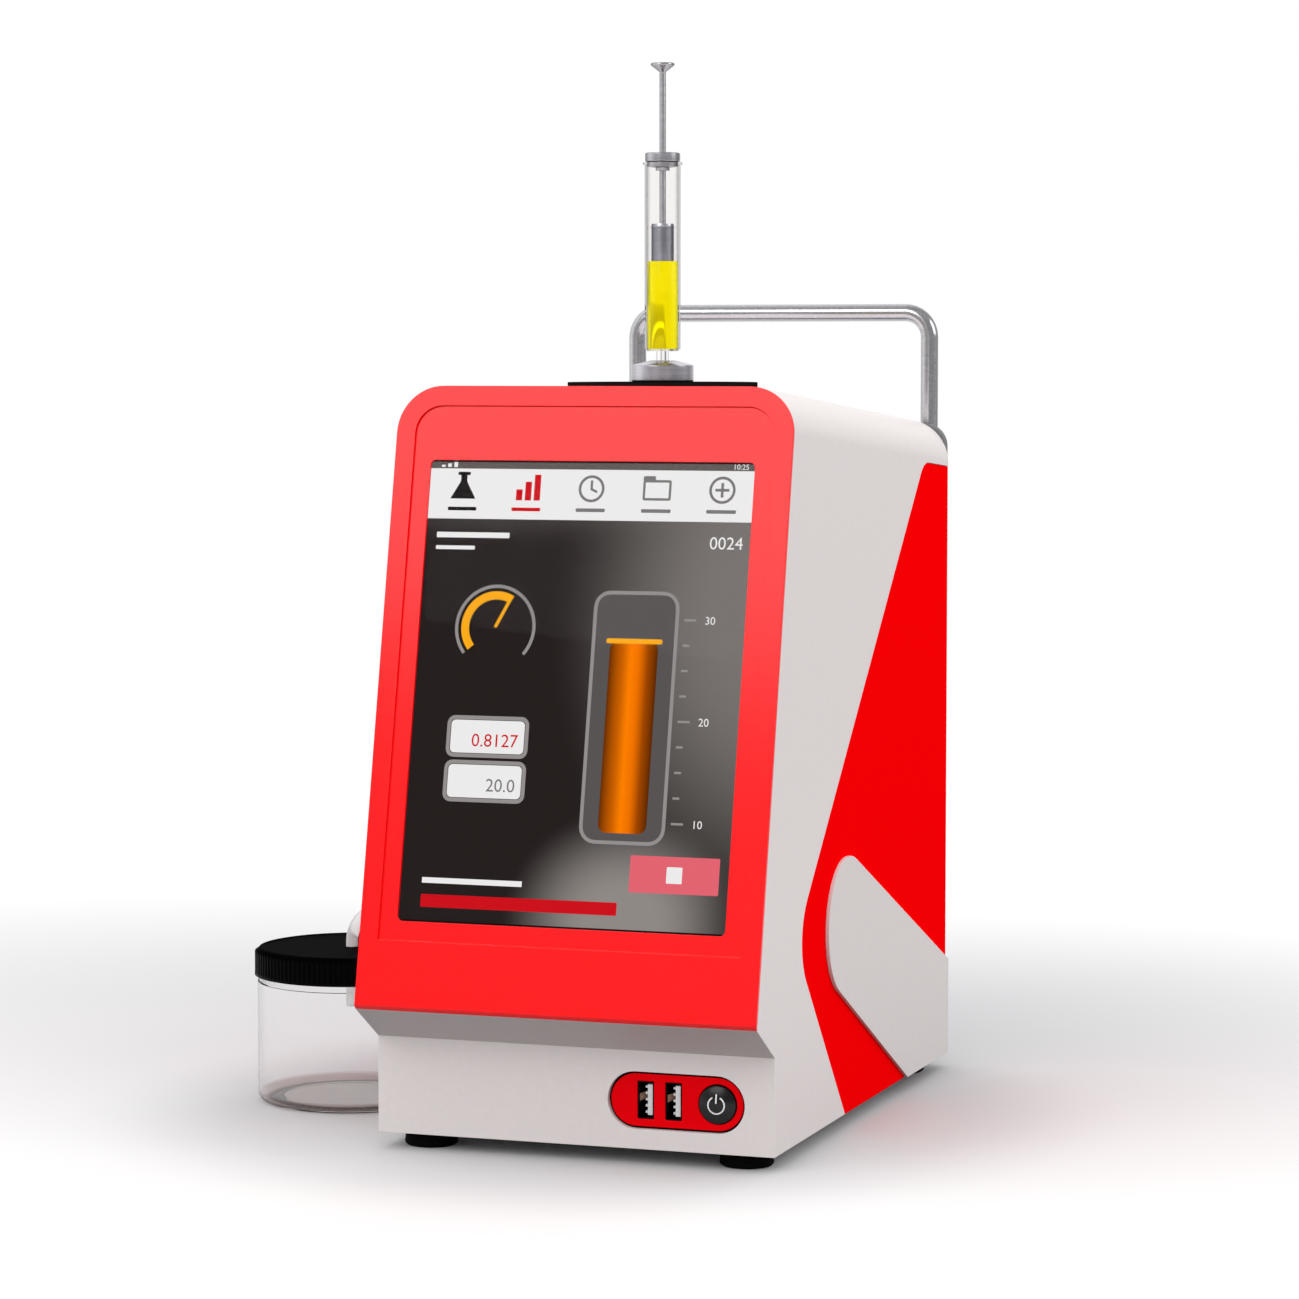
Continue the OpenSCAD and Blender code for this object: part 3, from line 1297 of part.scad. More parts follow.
function quarter(mid, from, to) = [for (a = [0 : 18 : 90])
    mid + pipe_bend * (cos(a) * from + sin(a) * to)];
out_first = concat([out_leg + [0, 0, tube_top]],
    quarter(out_leg + out_way * pipe_bend + [0, 0, out_bend_z], -out_way, [0, 0, 1]),
    quarter(drop - out_way * pipe_bend + [0, 0, out_bend_z], [0, 0, 1], out_way));
out_last = concat(quarter(drop + [-pipe_bend, 0, nipple_z_abs + pipe_bend], [1, 0, 0], [0, 0, -1]),
    [[-half_w + wall + nut_t, jar_y, nipple_z_abs]]);

module outlet_tube() color([0.9, 0.9, 0.9]) sweep(concat(out_first, out_last), pipe_d, 8,
    concat([for (p = out_first) cross(out_way, [0, 0, 1])], [for (p = out_last) cross([-1, 0, 0], [0, 0, 1])]));

// Threaded collar through the wall, with a smooth spout that the hose is pushed on.
thread_l = cover_out - half_w + wall;     // length of its thread inside the wall
module waste_nipple() color(steel) translate([-cover_out, jar_y, nipple_z_abs]) rotate([0, -90, 0])
    difference() {
        rotate_extrude() polygon([[0, -thread_l - nut_t], [nipple_d / 2 + wall / 2, -thread_l - nut_t],
            [nipple_d / 2 + wall / 2, -thread_l], [thread_d / 2, -thread_l], [thread_d / 2, 0],
            [nipple_d / 2, 0], [nipple_d / 2, collar_l * 5 / 6], [nipple_d / 2 - collar_l / 6, collar_l],
            [spout_d / 2, collar_l], [spout_d / 2, nipple_l], [0, nipple_l]]);
        translate([0, 0, -thread_l - nut_t - cut]) cylinder(d = tip_bore, h = 2 * nipple_l + thread_l);
    }

// ---- waste jar

shoulder_z = jar_h - 2 * fit_gap;
module waste_jar() color([0.9, 0.93, 0.95, 0.35]) translate([jar_x, jar_y, 0]) difference() {
    rotate_extrude() polygon([[0, jar_lift], [jar_d / 2 - jar_r - jar_ring, jar_lift],
        [jar_d / 2 - jar_r - jar_ring + jar_lift, 0],
        each [for (a = [-90 : 10 : 0]) [jar_d / 2 - jar_r + jar_r * cos(a), jar_r + jar_r * sin(a)]],
        [jar_d / 2, shoulder_z - shoulder_h], [neck_r, shoulder_z], [neck_r, rim_z], [0, rim_z]]);
    rotate_extrude() polygon([[0, jar_lift + jar_wall],
        [jar_d / 2 - jar_r - jar_ring + jar_lift, jar_lift + jar_wall],
        [jar_d / 2 - jar_r, jar_wall], each [for (a = [-80 : 10 : 0])
            [jar_d / 2 - jar_r + (jar_r - jar_wall) * cos(a), jar_r + (jar_r - jar_wall) * sin(a)]],
        [jar_d / 2 - jar_wall, shoulder_z - shoulder_h - jar_wall / 3],
        [neck_r - jar_wall, shoulder_z - jar_wall / 3], [neck_r - jar_wall, rim_z + cut], [0, rim_z + cut]]);
}

module cap_liner() color([0.9, 0.9, 0.88]) translate([jar_x, jar_y, rim_z + fit_gap]) difference() {
    cylinder(r = neck_r + 2 * fit_gap, h = liner_t);
    translate([0, 0, -cut]) cylinder(d = hose_d + 2 * hose_gap, h = liner_t + 2 * cut);
}

// Outline of the cap's ribs, four points to a rib; their feet run inside the cap.
rib_points = [for (k = [0 : ribs - 1], p = [[0, -rib_h], [0.3, rib_h], [0.6, rib_h], [0.9, -rib_h]])
    (lid_d / 2 + p[1]) * [cos((k + p[0]) * 360 / ribs), sin((k + p[0]) * 360 / ribs)]];

module jar_cap() color(black) translate([jar_x, jar_y, jar_h]) difference() {
    union() {
        translate([0, 0, lid_rim / 2]) linear_extrude(lid_h - lid_rim - lid_edge) polygon(rib_points);
        rotate_extrude() polygon([[0, 0], [rim_r, 0], [rim_r, lid_rim], [lid_d / 2, 1.8 * lid_rim],
            [lid_d / 2, lid_h - 1.2 * lid_edge], [lid_d / 2 - lid_edge, lid_h - 0.2 * lid_edge],
            [lid_d / 2 - 2 * lid_edge, lid_h], [lid_d / 2 - 2.7 * lid_edge, lid_h - 0.3 * lid_edge],
            [0, lid_h - 0.3 * lid_edge]]);
    }
    translate([0, 0, -cut]) cylinder(r = neck_r + 3 * fit_gap, h = lid_h - lid_t + cut);
    cylinder(d = hose_d + 2 * hose_gap, h = lid_h + cut);
}

// ---- hose from the waste fitting into the jar

// Points along the hose's middle, seen from the jar's middle: X towards the housing, Z up.
hose_points = concat([[0, hose_low], [0, jar_h]],
    [for (a = [0 : 10 : 90]) hose_bend * [1 - cos(a), sin(a)] + [0, lid_top + hose_rise]],
    [[(hose_bend + hose_end) / 2, nipple_z_abs], [hose_end, nipple_z_abs]]);

module waste_hose() color([0.85, 0.87, 0.9, 0.5]) translate([jar_x, jar_y, 0])
    sweep([for (p = hose_points) [p[0], 0, p[1]]], hose_d, 12, [for (p = hose_points) [0, 1, 0]]);

place() base_plate();
place() housing_shell();
place() front_bezel();
place() touch_glass();
place() display_panel();
place() mainboard();
place() rear_panel();
place() side_inlay_left();
place() side_inlay_right();
place() corner_cover_left();
place() corner_cover_right();
place() control_plate();
place() usb_shells();
place() usb_tongues();
place() button_switch();
place() power_button();
place() top_platform();
place() port_seal();
place() inlet_port();
place() syringe_barrel();
place() syringe_end_cap();
place() sample_liquid();
place() plunger_rod();
place() piston();
place() piston_seal();
place() handle_rod();
place() handle_rosettes();
place() handle_screws();
place() foot_front_left();
place() foot_front_right();
place() foot_rear_left();
place() foot_rear_right();
place() foot_screws();
place() rear_screws();
place() mains_inlet();
place() network_socket();
place() fan_frame();
place() fan_rotor();
place() cell_shelf();
place() thermostat_block();
place() u_tube();
place() cell_cap();
place() cell_insulation();
place() cooling_element();
place() heat_sink();
place() power_supply();
place() sample_tube();
place() outlet_tube();
place() waste_nipple();
place() waste_jar();
place() cap_liner();
place() jar_cap();
place() waste_hose();
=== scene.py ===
import json
import math

import bmesh
import bpy
from mathutils import Matrix, Vector
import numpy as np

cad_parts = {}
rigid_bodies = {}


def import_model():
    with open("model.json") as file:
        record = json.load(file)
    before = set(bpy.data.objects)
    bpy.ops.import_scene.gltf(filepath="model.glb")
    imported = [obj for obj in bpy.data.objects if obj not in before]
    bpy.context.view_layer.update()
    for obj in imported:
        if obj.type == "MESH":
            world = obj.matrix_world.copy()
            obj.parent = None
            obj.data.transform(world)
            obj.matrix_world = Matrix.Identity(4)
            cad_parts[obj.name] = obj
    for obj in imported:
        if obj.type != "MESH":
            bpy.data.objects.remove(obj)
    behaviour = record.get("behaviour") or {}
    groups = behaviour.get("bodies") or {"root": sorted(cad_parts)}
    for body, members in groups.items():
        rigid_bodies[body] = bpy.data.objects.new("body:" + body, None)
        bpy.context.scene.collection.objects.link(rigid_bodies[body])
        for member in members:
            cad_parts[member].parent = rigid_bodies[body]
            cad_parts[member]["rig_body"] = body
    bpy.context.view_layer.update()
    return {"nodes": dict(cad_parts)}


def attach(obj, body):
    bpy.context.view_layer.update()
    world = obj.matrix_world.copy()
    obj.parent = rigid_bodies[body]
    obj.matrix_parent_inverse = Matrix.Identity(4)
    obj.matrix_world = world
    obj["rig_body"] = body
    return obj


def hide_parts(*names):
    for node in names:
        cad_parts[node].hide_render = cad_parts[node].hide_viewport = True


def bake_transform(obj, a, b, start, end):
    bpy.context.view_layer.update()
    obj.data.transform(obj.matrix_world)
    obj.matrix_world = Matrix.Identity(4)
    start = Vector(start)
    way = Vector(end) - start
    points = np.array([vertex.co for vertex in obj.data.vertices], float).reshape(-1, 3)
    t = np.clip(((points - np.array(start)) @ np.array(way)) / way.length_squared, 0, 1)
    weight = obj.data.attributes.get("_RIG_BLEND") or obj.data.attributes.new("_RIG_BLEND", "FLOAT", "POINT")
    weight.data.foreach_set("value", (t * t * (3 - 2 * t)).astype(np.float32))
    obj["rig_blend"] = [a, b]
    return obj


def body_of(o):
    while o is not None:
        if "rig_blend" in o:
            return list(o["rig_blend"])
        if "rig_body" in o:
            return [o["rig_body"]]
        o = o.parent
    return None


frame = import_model()

# ---- Camera
# The camera stands at the right of the instrument's front, level with the inlet port on
# its top, and looks slightly down. The photograph was taken from the same place.

camera_place = (0.5357, -1.4594, 0.2858)
camera_down = 4.123          # degrees below level
camera_turn = 19.07          # degrees from square on, towards the instrument's right side
camera_lens = 112.84         # for a sensor 36 mm wide

camera_data = bpy.data.cameras.new("camera")
camera_data.sensor_width = 36.0
camera_data.lens = camera_lens
camera = bpy.data.objects.new("camera", camera_data)
camera.location = camera_place
camera.rotation_euler = (math.radians(90 - camera_down), 0, math.radians(camera_turn))
bpy.context.scene.collection.objects.link(camera)
bpy.context.scene.camera = camera
bpy.context.scene.view_settings.view_transform = "Standard"

# ---- Waste hose
# Clear soft plastic hose, 4.6 mm outside, cut to length. One end is pushed over the waste
# fitting's spout in the housing's left side, the other hangs through the cap into the jar.

mm = 0.001
side_shift = 0.04225         # from the housing's middle plane to the middle of the whole set
depth_shift = -0.115         # from the lower front panel to the middle of the whole set
jar_x = side_shift - 0.1233  # the jar's middle stands at the left of the housing
jar_y = depth_shift + 0.089
hose_d = 0.0046
# The route, in millimetres across from the jar's middle and up from the bench, runs from
# the fitting over a quarter bend and down through the cap.
fitting_across, spout_across, spout_up = 43.5, 28.2, 74
jar_top, hose_low = 48.9, 36
hose_bend = 13
hose_turns = [math.radians(a) for a in range(90, -1, -10)]
hose_route = [(fitting_across, spout_up), (spout_across, spout_up)]
hose_route += [(hose_bend * (1 - math.cos(a)), spout_up - hose_bend + hose_bend * math.sin(a))
               for a in hose_turns]
hose_route += [(0, jar_top), (0, hose_low)]


def shader(name):
    """New material with its node tree, links and main shader."""
    finish = bpy.data.materials.new(name)
    finish.use_nodes = True
    tree = finish.node_tree
    return finish, tree.nodes, tree.links, tree.nodes["Principled BSDF"]


def fine_noise(nodes, links, scale, detail=2.0, stretch=(1, 1, 1)):
    """Noise on the piece's own coordinates; scale is its waves to a metre."""
    place = nodes.new("ShaderNodeTexCoord")
    turn = nodes.new("ShaderNodeMapping")
    turn.inputs["Scale"].default_value = stretch
    noise = nodes.new("ShaderNodeTexNoise")
    noise.inputs["Scale"].default_value = scale
    noise.inputs["Detail"].default_value = detail
    links.new(place.outputs["Object"], turn.inputs["Vector"])
    links.new(turn.outputs["Vector"], noise.inputs["Vector"])
    return noise


def ramp(nodes, links, source, stops):
    """Colour ramp from a list of (place, colour)."""
    band = nodes.new("ShaderNodeValToRGB")
    while len(band.color_ramp.elements) < len(stops):
        band.color_ramp.elements.new(0.5)
    for element, (place, colour) in zip(band.color_ramp.elements, stops):
        element.position = place
        element.color = (*colour[:3], 1)
    links.new(source, band.inputs["Fac"])
    return band


def shade(colour, factor):
    """Lighter or darker colour, for a factor over or under one."""
    return tuple(min(1.0, c * factor) for c in colour[:3])


def bumped(nodes, links, main, source, depth, strength=0.3):
    """Relief of the finish, from a source of heights."""
    bump = nodes.new("ShaderNodeBump")
    bump.inputs["Distance"].default_value = depth
    bump.inputs["Strength"].default_value = strength
    links.new(source, bump.inputs["Height"])
    links.new(bump.outputs["Normal"], main.inputs["Normal"])


def both_finishes(nodes, links, factor, first, second):
    """Mix of two shaders; the factor is a number or another node's output."""
    mix = nodes.new("ShaderNodeMixShader")
    if isinstance(factor, bpy.types.NodeSocket):
        links.new(factor, mix.inputs["Fac"])
    else:
        mix.inputs["Fac"].default_value = factor
    links.new(first, mix.inputs[1])
    links.new(second, mix.inputs[2])
    return mix.outputs["Shader"]


def clear(name, tint, roughness, ior, haze=0.0, ripple=0.00005, rim=1.0):
    """See-through glass or plastic; rim is what is left of the tint where it is seen edge-on, a painted
    shade.
    """
    finish, nodes, links, main = shader(name)
    slant = nodes.new("ShaderNodeLayerWeight")
    # painted shade: the tint darkens to rim towards the edges
    depth = ramp(nodes, links, slant.outputs["Facing"], [(0.3, tint), (0.95, shade(tint, rim))])
    links.new(depth.outputs["Color"], main.inputs["Base Color"])
    main.inputs["Transmission Weight"].default_value = 1.0
    main.inputs["Roughness"].default_value = roughness
    main.inputs["IOR"].default_value = ior
    flow = fine_noise(nodes, links, 60)
    bumped(nodes, links, main, flow.outputs["Fac"], ripple, 0.15)
    path = nodes.new("ShaderNodeLightPath")
    through = nodes.new("ShaderNodeBsdfTransparent")
    through.inputs["Color"].default_value = (*shade(tint, 0.96), 1)
    seen = both_finishes(nodes, links, path.outputs["Is Shadow Ray"], main.outputs["BSDF"],
                         through.outputs["BSDF"])
    if haze:
        cloud = nodes.new("ShaderNodeBsdfDiffuse")
        cloud.inputs["Color"].default_value = (*tint, 1)
        seen = both_finishes(nodes, links, haze, seen, cloud.outputs["BSDF"])
    links.new(seen, nodes["Material Output"].inputs["Surface"])
    return finish


hose_curve = bpy.data.curves.new("waste_hose_line", "CURVE")
hose_curve.dimensions = "3D"
hose_curve.bevel_depth = hose_d / 2
hose_curve.bevel_resolution = 6
hose_curve.use_fill_caps = True
hose_line = hose_curve.splines.new("POLY")
hose_line.points.add(len(hose_route) - 1)
for point, (across, up) in zip(hose_line.points, hose_route):
    point.co = (jar_x + across * mm, jar_y, up * mm, 1)
waste_hose = bpy.data.objects.new("waste_hose_soft", hose_curve)
bpy.context.scene.collection.objects.link(waste_hose)
hose_plastic = clear("hose_plastic", (0.98, 0.975, 0.975), 0.1, 1.12, haze=0.42, rim=0.75)
hose_curve.materials.append(hose_plastic)
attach(waste_hose, "instrument")
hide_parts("waste_hose")

# ---- Base plate and feet
# The base is one folded steel sheet with air slots. Four rubber feet are held under it
# by screws whose heads lie in the feet's hollow undersides.


def eased(node, finish, ease=0.0003):
    """Copy of a CAD node with slightly rounded edges, which takes the node's place."""
    weld = 2e-6                               # points nearer than this are one
    flat = math.radians(0.4)                  # faces that turn less than this are one
    sharp = math.radians(32)                  # edges that turn more than this are rounded
    mesh = frame["nodes"][node].data.copy()
    mesh.name = node + "_made"
    mesh.materials.clear()
    mesh.materials.append(finish)
    form = bmesh.new()
    form.from_mesh(mesh)
    bmesh.ops.remove_doubles(form, verts=form.verts, dist=weld)
    bmesh.ops.dissolve_degenerate(form, edges=form.edges, dist=weld)
    bmesh.ops.dissolve_limit(form, angle_limit=flat, verts=form.verts, edges=form.edges)
    edges = [e for e in form.edges if len(e.link_faces) == 2 and e.calc_face_angle(0) > sharp]
    if ease:
        bmesh.ops.bevel(form, geom=edges, offset=ease, offset_type="OFFSET", segments=2,
                        profile=0.5, affect="EDGES", clamp_overlap=True, material=-1)
    for face in form.faces:
        face.smooth = True
        face.material_index = 0
    for edge in form.edges:
        if len(edge.link_faces) == 2:
            edge.smooth = edge.calc_face_angle(0) < sharp
    form.to_mesh(mesh)
    form.free()
    if "custom_normal" in mesh.attributes:
        mesh.attributes.remove(mesh.attributes["custom_normal"])
    piece = bpy.data.objects.new(node + "_made", mesh)
    piece.modifiers.new("flat_faces", "WEIGHTED_NORMAL").keep_sharp = True
    bpy.context.scene.collection.objects.link(piece)
    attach(piece, body_of(frame["nodes"][node])[0])
    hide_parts(node)
    return piece


def coat(nodes_named, finish):
    """Gives CAD nodes that keep their own mesh their finish."""
    for name in nodes_named:
        for place in frame["nodes"][name].material_slots:
            place.material = finish


def roughened(nodes, links, main, noise, low, high):
    """Roughness that wanders between low and high with the noise."""
    spread = nodes.new("ShaderNodeMapRange")
    spread.inputs["To Min"].default_value = low
    spread.inputs["To Max"].default_value = high
    links.new(noise.outputs["Fac"], spread.inputs["Value"])
    links.new(spread.outputs["Result"], main.inputs["Roughness"])


def sheet_metal(name, colour, grain, low=0.28, high=0.42):
    """Rolled or brushed metal; grain squeezes the noise along its rolling direction."""
    finish, nodes, links, main = shader(name)
    main.inputs["Metallic"].default_value = 1.0
    streak = fine_noise(nodes, links, 900, 3.0, grain)
    tone = ramp(nodes, links, streak.outputs["Fac"],
                [(0.3, shade(colour, 0.9)), (0.7, shade(colour, 1.08))])
    links.new(tone.outputs["Color"], main.inputs["Base Color"])
    roughened(nodes, links, main, streak, low, high)
    bumped(nodes, links, main, streak.outputs["Fac"], 0.00002, 0.25)
    return finish


def moulded(name, colour, roughness, grain=2600, depth=0.00004, specular=0.4):
    """Moulded plastic or rubber with a fine leather-like mould texture."""
    finish, nodes, links, main = shader(name)
    texture = fine_noise(nodes, links, grain, 3.0)
    tone = ramp(nodes, links, texture.outputs["Fac"],
                [(0.35, shade(colour, 0.88)), (0.65, shade(colour, 1.1))])
    links.new(tone.outputs["Color"], main.inputs["Base Color"])
    main.inputs["Specular IOR Level"].default_value = specular
    roughened(nodes, links, main, texture, roughness - 0.06, roughness + 0.06)
    bumped(nodes, links, main, texture.outputs["Fac"], depth, 0.3)
    return finish


zinc_sheet = sheet_metal("zinc_sheet", (0.62, 0.62, 0.63), (0.08, 1, 1))
foot_rubber = moulded("foot_rubber", (0.0025, 0.0025, 0.003), 0.62, specular=0.03)
eased("base_plate", zinc_sheet, 0.0002)
for end in ("front", "rear"):
    for side in ("left", "right"):
        eased(f"foot_{end}_{side}", foot_rubber, 0.0004)
screw_steel = sheet_metal("screw_steel", (0.6, 0.6, 0.6), (1, 1, 1))
eased("foot_screws", screw_steel, 0.0002)

# ---- Housing and side panels
# The white wrap is moulded plastic with a satin lacquer. The red inlay of each side lies
# flush in the wrap, and the white corner cover on top of it is clipped into the wrap.


def lacquered(name, colour, roughness, coat_weight, specular=0.3, depth=0.00003):
    """Satin lacquer with a faint orange-peel texture."""
    finish, nodes, links, main = shader(name)
    peel = fine_noise(nodes, links, 400, 1.0)
    tone = ramp(nodes, links, peel.outputs["Fac"],
                [(0.3, shade(colour, 0.985)), (0.7, shade(colour, 1.01))])
    links.new(tone.outputs["Color"], main.inputs["Base Color"])
    main.inputs["Specular IOR Level"].default_value = specular
    main.inputs["Coat Weight"].default_value = coat_weight
    main.inputs["Coat Roughness"].default_value = 0.12
    roughened(nodes, links, main, peel, roughness - 0.02, roughness + 0.02)
    bumped(nodes, links, main, peel.outputs["Fac"], depth, 0.05)
    return finish


white_paint = lacquered("white_paint", (0.72, 0.67, 0.665), 0.42, 0.05, specular=0.15)
# painted shade: the corner covers take a darker copy of the white paint
shaded_cover_paint = lacquered("shaded_cover_paint", (0.66, 0.615, 0.61), 0.42, 0.05, specular=0.15)
red_paint = lacquered("red_paint", (0.93, 0.0003, 0.0015), 0.42, 0.0, specular=0.0)
eased("housing_shell", white_paint, 0.0003)
for side in ("left", "right"):
    eased(f"side_inlay_{side}", red_paint, 0)
    eased(f"corner_cover_{side}", shaded_cover_paint, 0.0002)

# ---- Front bezel
# Red lacquered plastic frame, glued into the front of the housing, with a sunk field
# round the touch glass.

bezel_paint = lacquered("bezel_paint", (0.96, 0.0006, 0.003), 0.15, 0.0, specular=0.38)
eased("front_bezel", bezel_paint, 0.0003)

# ---- Measuring cell, board and power supply
# The cell is an aluminium block on a steel shelf, with a bent glass tube in it, foam
# round it and a cooling element and heat sink behind it. All of it is screwed down.


def anodised_metal(name, colour, roughness):
    """Bead-blasted and anodised aluminium."""
    finish, nodes, links, main = shader(name)
    main.inputs["Metallic"].default_value = 1.0
    blast = fine_noise(nodes, links, 3000, 2.0)
    tone = ramp(nodes, links, blast.outputs["Fac"],
                [(0.3, shade(colour, 0.9)), (0.7, shade(colour, 1.06))])
    links.new(tone.outputs["Color"], main.inputs["Base Color"])
    roughened(nodes, links, main, blast, roughness - 0.06, roughness + 0.06)
    bumped(nodes, links, main, blast.outputs["Fac"], 0.00002, 0.3)
    return finish


cell_aluminium = anodised_metal("cell_aluminium", (0.7, 0.71, 0.72), 0.38)
cap_steel = sheet_metal("cap_steel", (0.6, 0.6, 0.61), (1, 1, 1))
cell_foam = moulded("cell_foam", (0.09, 0.09, 0.095), 0.9, 900, 0.0004, 0.1)
cooler_ceramic = moulded("cooler_ceramic", (0.8, 0.8, 0.78), 0.5, 1800)
tube_plastic = clear("tube_plastic", (0.95, 0.95, 0.95), 0.1, 1.35, haze=0.3)
tube_glass = clear("tube_glass", (0.98, 0.99, 0.98), 0.02, 1.47)

board_lacquer, board_nodes, board_links, board_main = shader("board_lacquer")
tracks = fine_noise(board_nodes, board_links, 260, 1.0, (6, 1, 1))
track_tone = ramp(board_nodes, board_links, tracks.outputs["Fac"],
                  [(0.45, (0.01, 0.09, 0.035)), (0.5, (0.02, 0.16, 0.06)), (0.56, (0.01, 0.1, 0.04))])
board_links.new(track_tone.outputs["Color"], board_main.inputs["Base Color"])
board_main.inputs["Roughness"].default_value = 0.35
bumped(board_nodes, board_links, board_main, tracks.outputs["Fac"], 0.00005, 0.4)

coat(["cell_shelf"], zinc_sheet)
coat(["thermostat_block", "heat_sink", "power_supply"], cell_aluminium)
coat(["cell_cap"], cap_steel)
coat(["cell_insulation"], cell_foam)
coat(["cooling_element"], cooler_ceramic)
coat(["mainboard"], board_lacquer)
coat(["u_tube"], tube_glass)
coat(["sample_tube", "outlet_tube"], tube_plastic)

# ---- Screen
# A touch glass lies behind the bezel's lip, with the display module against its back.
# The picture is the module's own light: plain numbers, bars, a dial and a column gauge, on a ground with
# painted reflections of the room.

face_tilt = math.radians(11.7)
face_foot = Vector((side_shift, depth_shift - 0.022, 0.0548))     # tip of the chin
face_out = Vector((0, -math.cos(face_tilt), math.sin(face_tilt)))
glass_sink = 2.2             # from the face's plane to the front of the glass
glass_thick = 1.4


def face_place(depth):
    """Places millimetres across and up the face on the slanted plane depth behind it."""
    foot = face_foot - face_out * depth * mm
    return Matrix(((mm, 0, 0, foot.x),
                   (0, math.sin(face_tilt) * mm, face_out.y * mm, foot.y),
                   (0, math.cos(face_tilt) * mm, face_out.z * mm, foot.z),
                   (0, 0, 0, 1)))


def made(form, name, finish, body, smooth=False, place=None):
    """Turns a bmesh into a piece that rides on the body, if one is named, and takes the slot."""
    if place is not None:
        bmesh.ops.transform(form, matrix=place, verts=form.verts)
    mesh = bpy.data.meshes.new(name)
    form.to_mesh(mesh)
    form.free()
    for polygon in mesh.polygons:
        polygon.use_smooth = smooth
    mesh.materials.append(finish)
    piece = bpy.data.objects.new(name, mesh)
    bpy.context.scene.collection.objects.link(piece)
    if body:
        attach(piece, body)
    return piece


def mixed(nodes, links, factor, first, second, mode="MIX"):
    """Colour of two; factor, first and second are each a value or another node's output."""
    mix = nodes.new("ShaderNodeMixRGB")
    mix.blend_type = mode
    for socket, value in (("Fac", factor), ("Color1", first), ("Color2", second)):
        if isinstance(value, bpy.types.NodeSocket):
            links.new(value, mix.inputs[socket])
        else:
            mix.inputs[socket].default_value = value
    return mix.outputs["Color"]


def lit(nodes, links, main, colour):
    """Puts plain light of that colour in the main shader's place."""
    nodes.remove(main)
    light = nodes.new("ShaderNodeEmission")
    links.new(colour, light.inputs["Color"])
    links.new(light.outputs["Emission"], nodes["Material Output"].inputs["Surface"])


def glow(name, colour):
    """Light of the picture, broken up by the fine grid of the display."""
    finish, nodes, links, main = shader(name)
    grid = fine_noise(nodes, links, 6000, 0.0)
    tone = ramp(nodes, links, grid.outputs["Fac"],
                [(0.3, shade(colour, 0.96)), (0.7, shade(colour, 1.04))])
    lit(nodes, links, main, tone.outputs["Color"])
    return finish


def card(form, left, low, right, high, corner=0.0):
    """Flat rectangle with round corners."""
    grid = bmesh.ops.create_grid(form, x_segments=1, y_segments=1, size=0.5)
    verts = grid["verts"]
    bmesh.ops.scale(form, vec=(right - left, high - low, 1), verts=verts)
    bmesh.ops.translate(form, vec=((left + right) / 2, (low + high) / 2, 0), verts=verts)
    if corner:
        bmesh.ops.bevel(form, geom=verts, offset=corner, offset_type="OFFSET", segments=5, profile=0.5,
                        affect="VERTICES", material=-1)


def added(form, other):
    """Adds another bmesh to the form."""
    spare = bpy.data.meshes.new("spare")
    other.to_mesh(spare)
    other.free()
    form.from_mesh(spare)
    bpy.data.meshes.remove(spare)


def card_frame(form, left, low, right, high, corner, width):
    """Outline of a rounded rectangle."""
    rim = bmesh.new()
    card(rim, left, low, right, high, corner)
    inner = bmesh.ops.inset_region(rim, faces=rim.faces[:], thickness=width, use_even_offset=True,
                                    use_boundary=True)
    middle = [f for f in rim.faces if f not in inner["faces"]]
    bmesh.ops.delete(rim, geom=middle, context="FACES_ONLY")
    added(form, rim)


def arc(form, middle, inner, outer, start, sweep, steps=32):
    """Flat ring or part of one; angles in degrees, from the right and counterclockwise."""
    rim = bmesh.new()
    turn = math.radians(start)
    ends = [rim.verts.new((middle[0] + r * math.cos(turn), middle[1] + r * math.sin(turn), 0))
            for r in (inner, outer)]
    edge = rim.edges.new(ends)
    bmesh.ops.spin(rim, geom=ends + [edge], cent=(*middle, 0), axis=(0, 0, 1), dvec=(0, 0, 0),
                   angle=math.radians(sweep), steps=steps, use_merge=sweep == 360,
                   use_duplicate=False)
    bmesh.ops.recalc_face_normals(rim, faces=rim.faces)
    turned_away = [f for f in rim.faces if f.normal.z < 0]
    bmesh.ops.reverse_faces(rim, faces=turned_away)
    added(form, rim)


def stroke(form, start, end, width):
    """Straight bar between two points."""
    start, end = Vector(start), Vector(end)
    run = end - start
    grid = bmesh.ops.create_grid(form, x_segments=1, y_segments=1, size=0.5)
    bmesh.ops.scale(form, vec=(run.length, width, 1), verts=grid["verts"])
    bmesh.ops.rotate(form, cent=(0, 0, 0), matrix=Matrix.Rotation(math.atan2(run.y, run.x), 3, "Z"),
                     verts=grid["verts"])
    bmesh.ops.translate(form, vec=(*((start + end) / 2), 0), verts=grid["verts"])


def figures(form, text, right, low, height):
    """Plain numbers that end at the right; height is that of a figure."""
    line = bpy.data.curves.new("figures", "FONT")
    line.body = text
    line.size = height / 0.7              # a figure is 0.7 of the line's size
    line.align_x = "RIGHT"
    line.resolution_u = 4
    holder = bpy.data.objects.new("figures", line)
    bpy.context.scene.collection.objects.link(holder)
    flat = bpy.data.meshes.new_from_object(holder.evaluated_get(bpy.context.evaluated_depsgraph_get()))
    flat.transform(Matrix.Translation((right, low, 0)))
    form.from_mesh(flat)
    bpy.data.objects.remove(holder)
    bpy.data.curves.remove(line)
    bpy.data.meshes.remove(flat)


display_case = moulded("display_case", (0.012, 0.012, 0.013), 0.5)
coat(["display_panel"], display_case)

pane_glass = clear("pane_glass", (0.98, 0.98, 0.98), 0.01, 1.08, ripple=0.0)
pane = eased("touch_glass", pane_glass, 0)
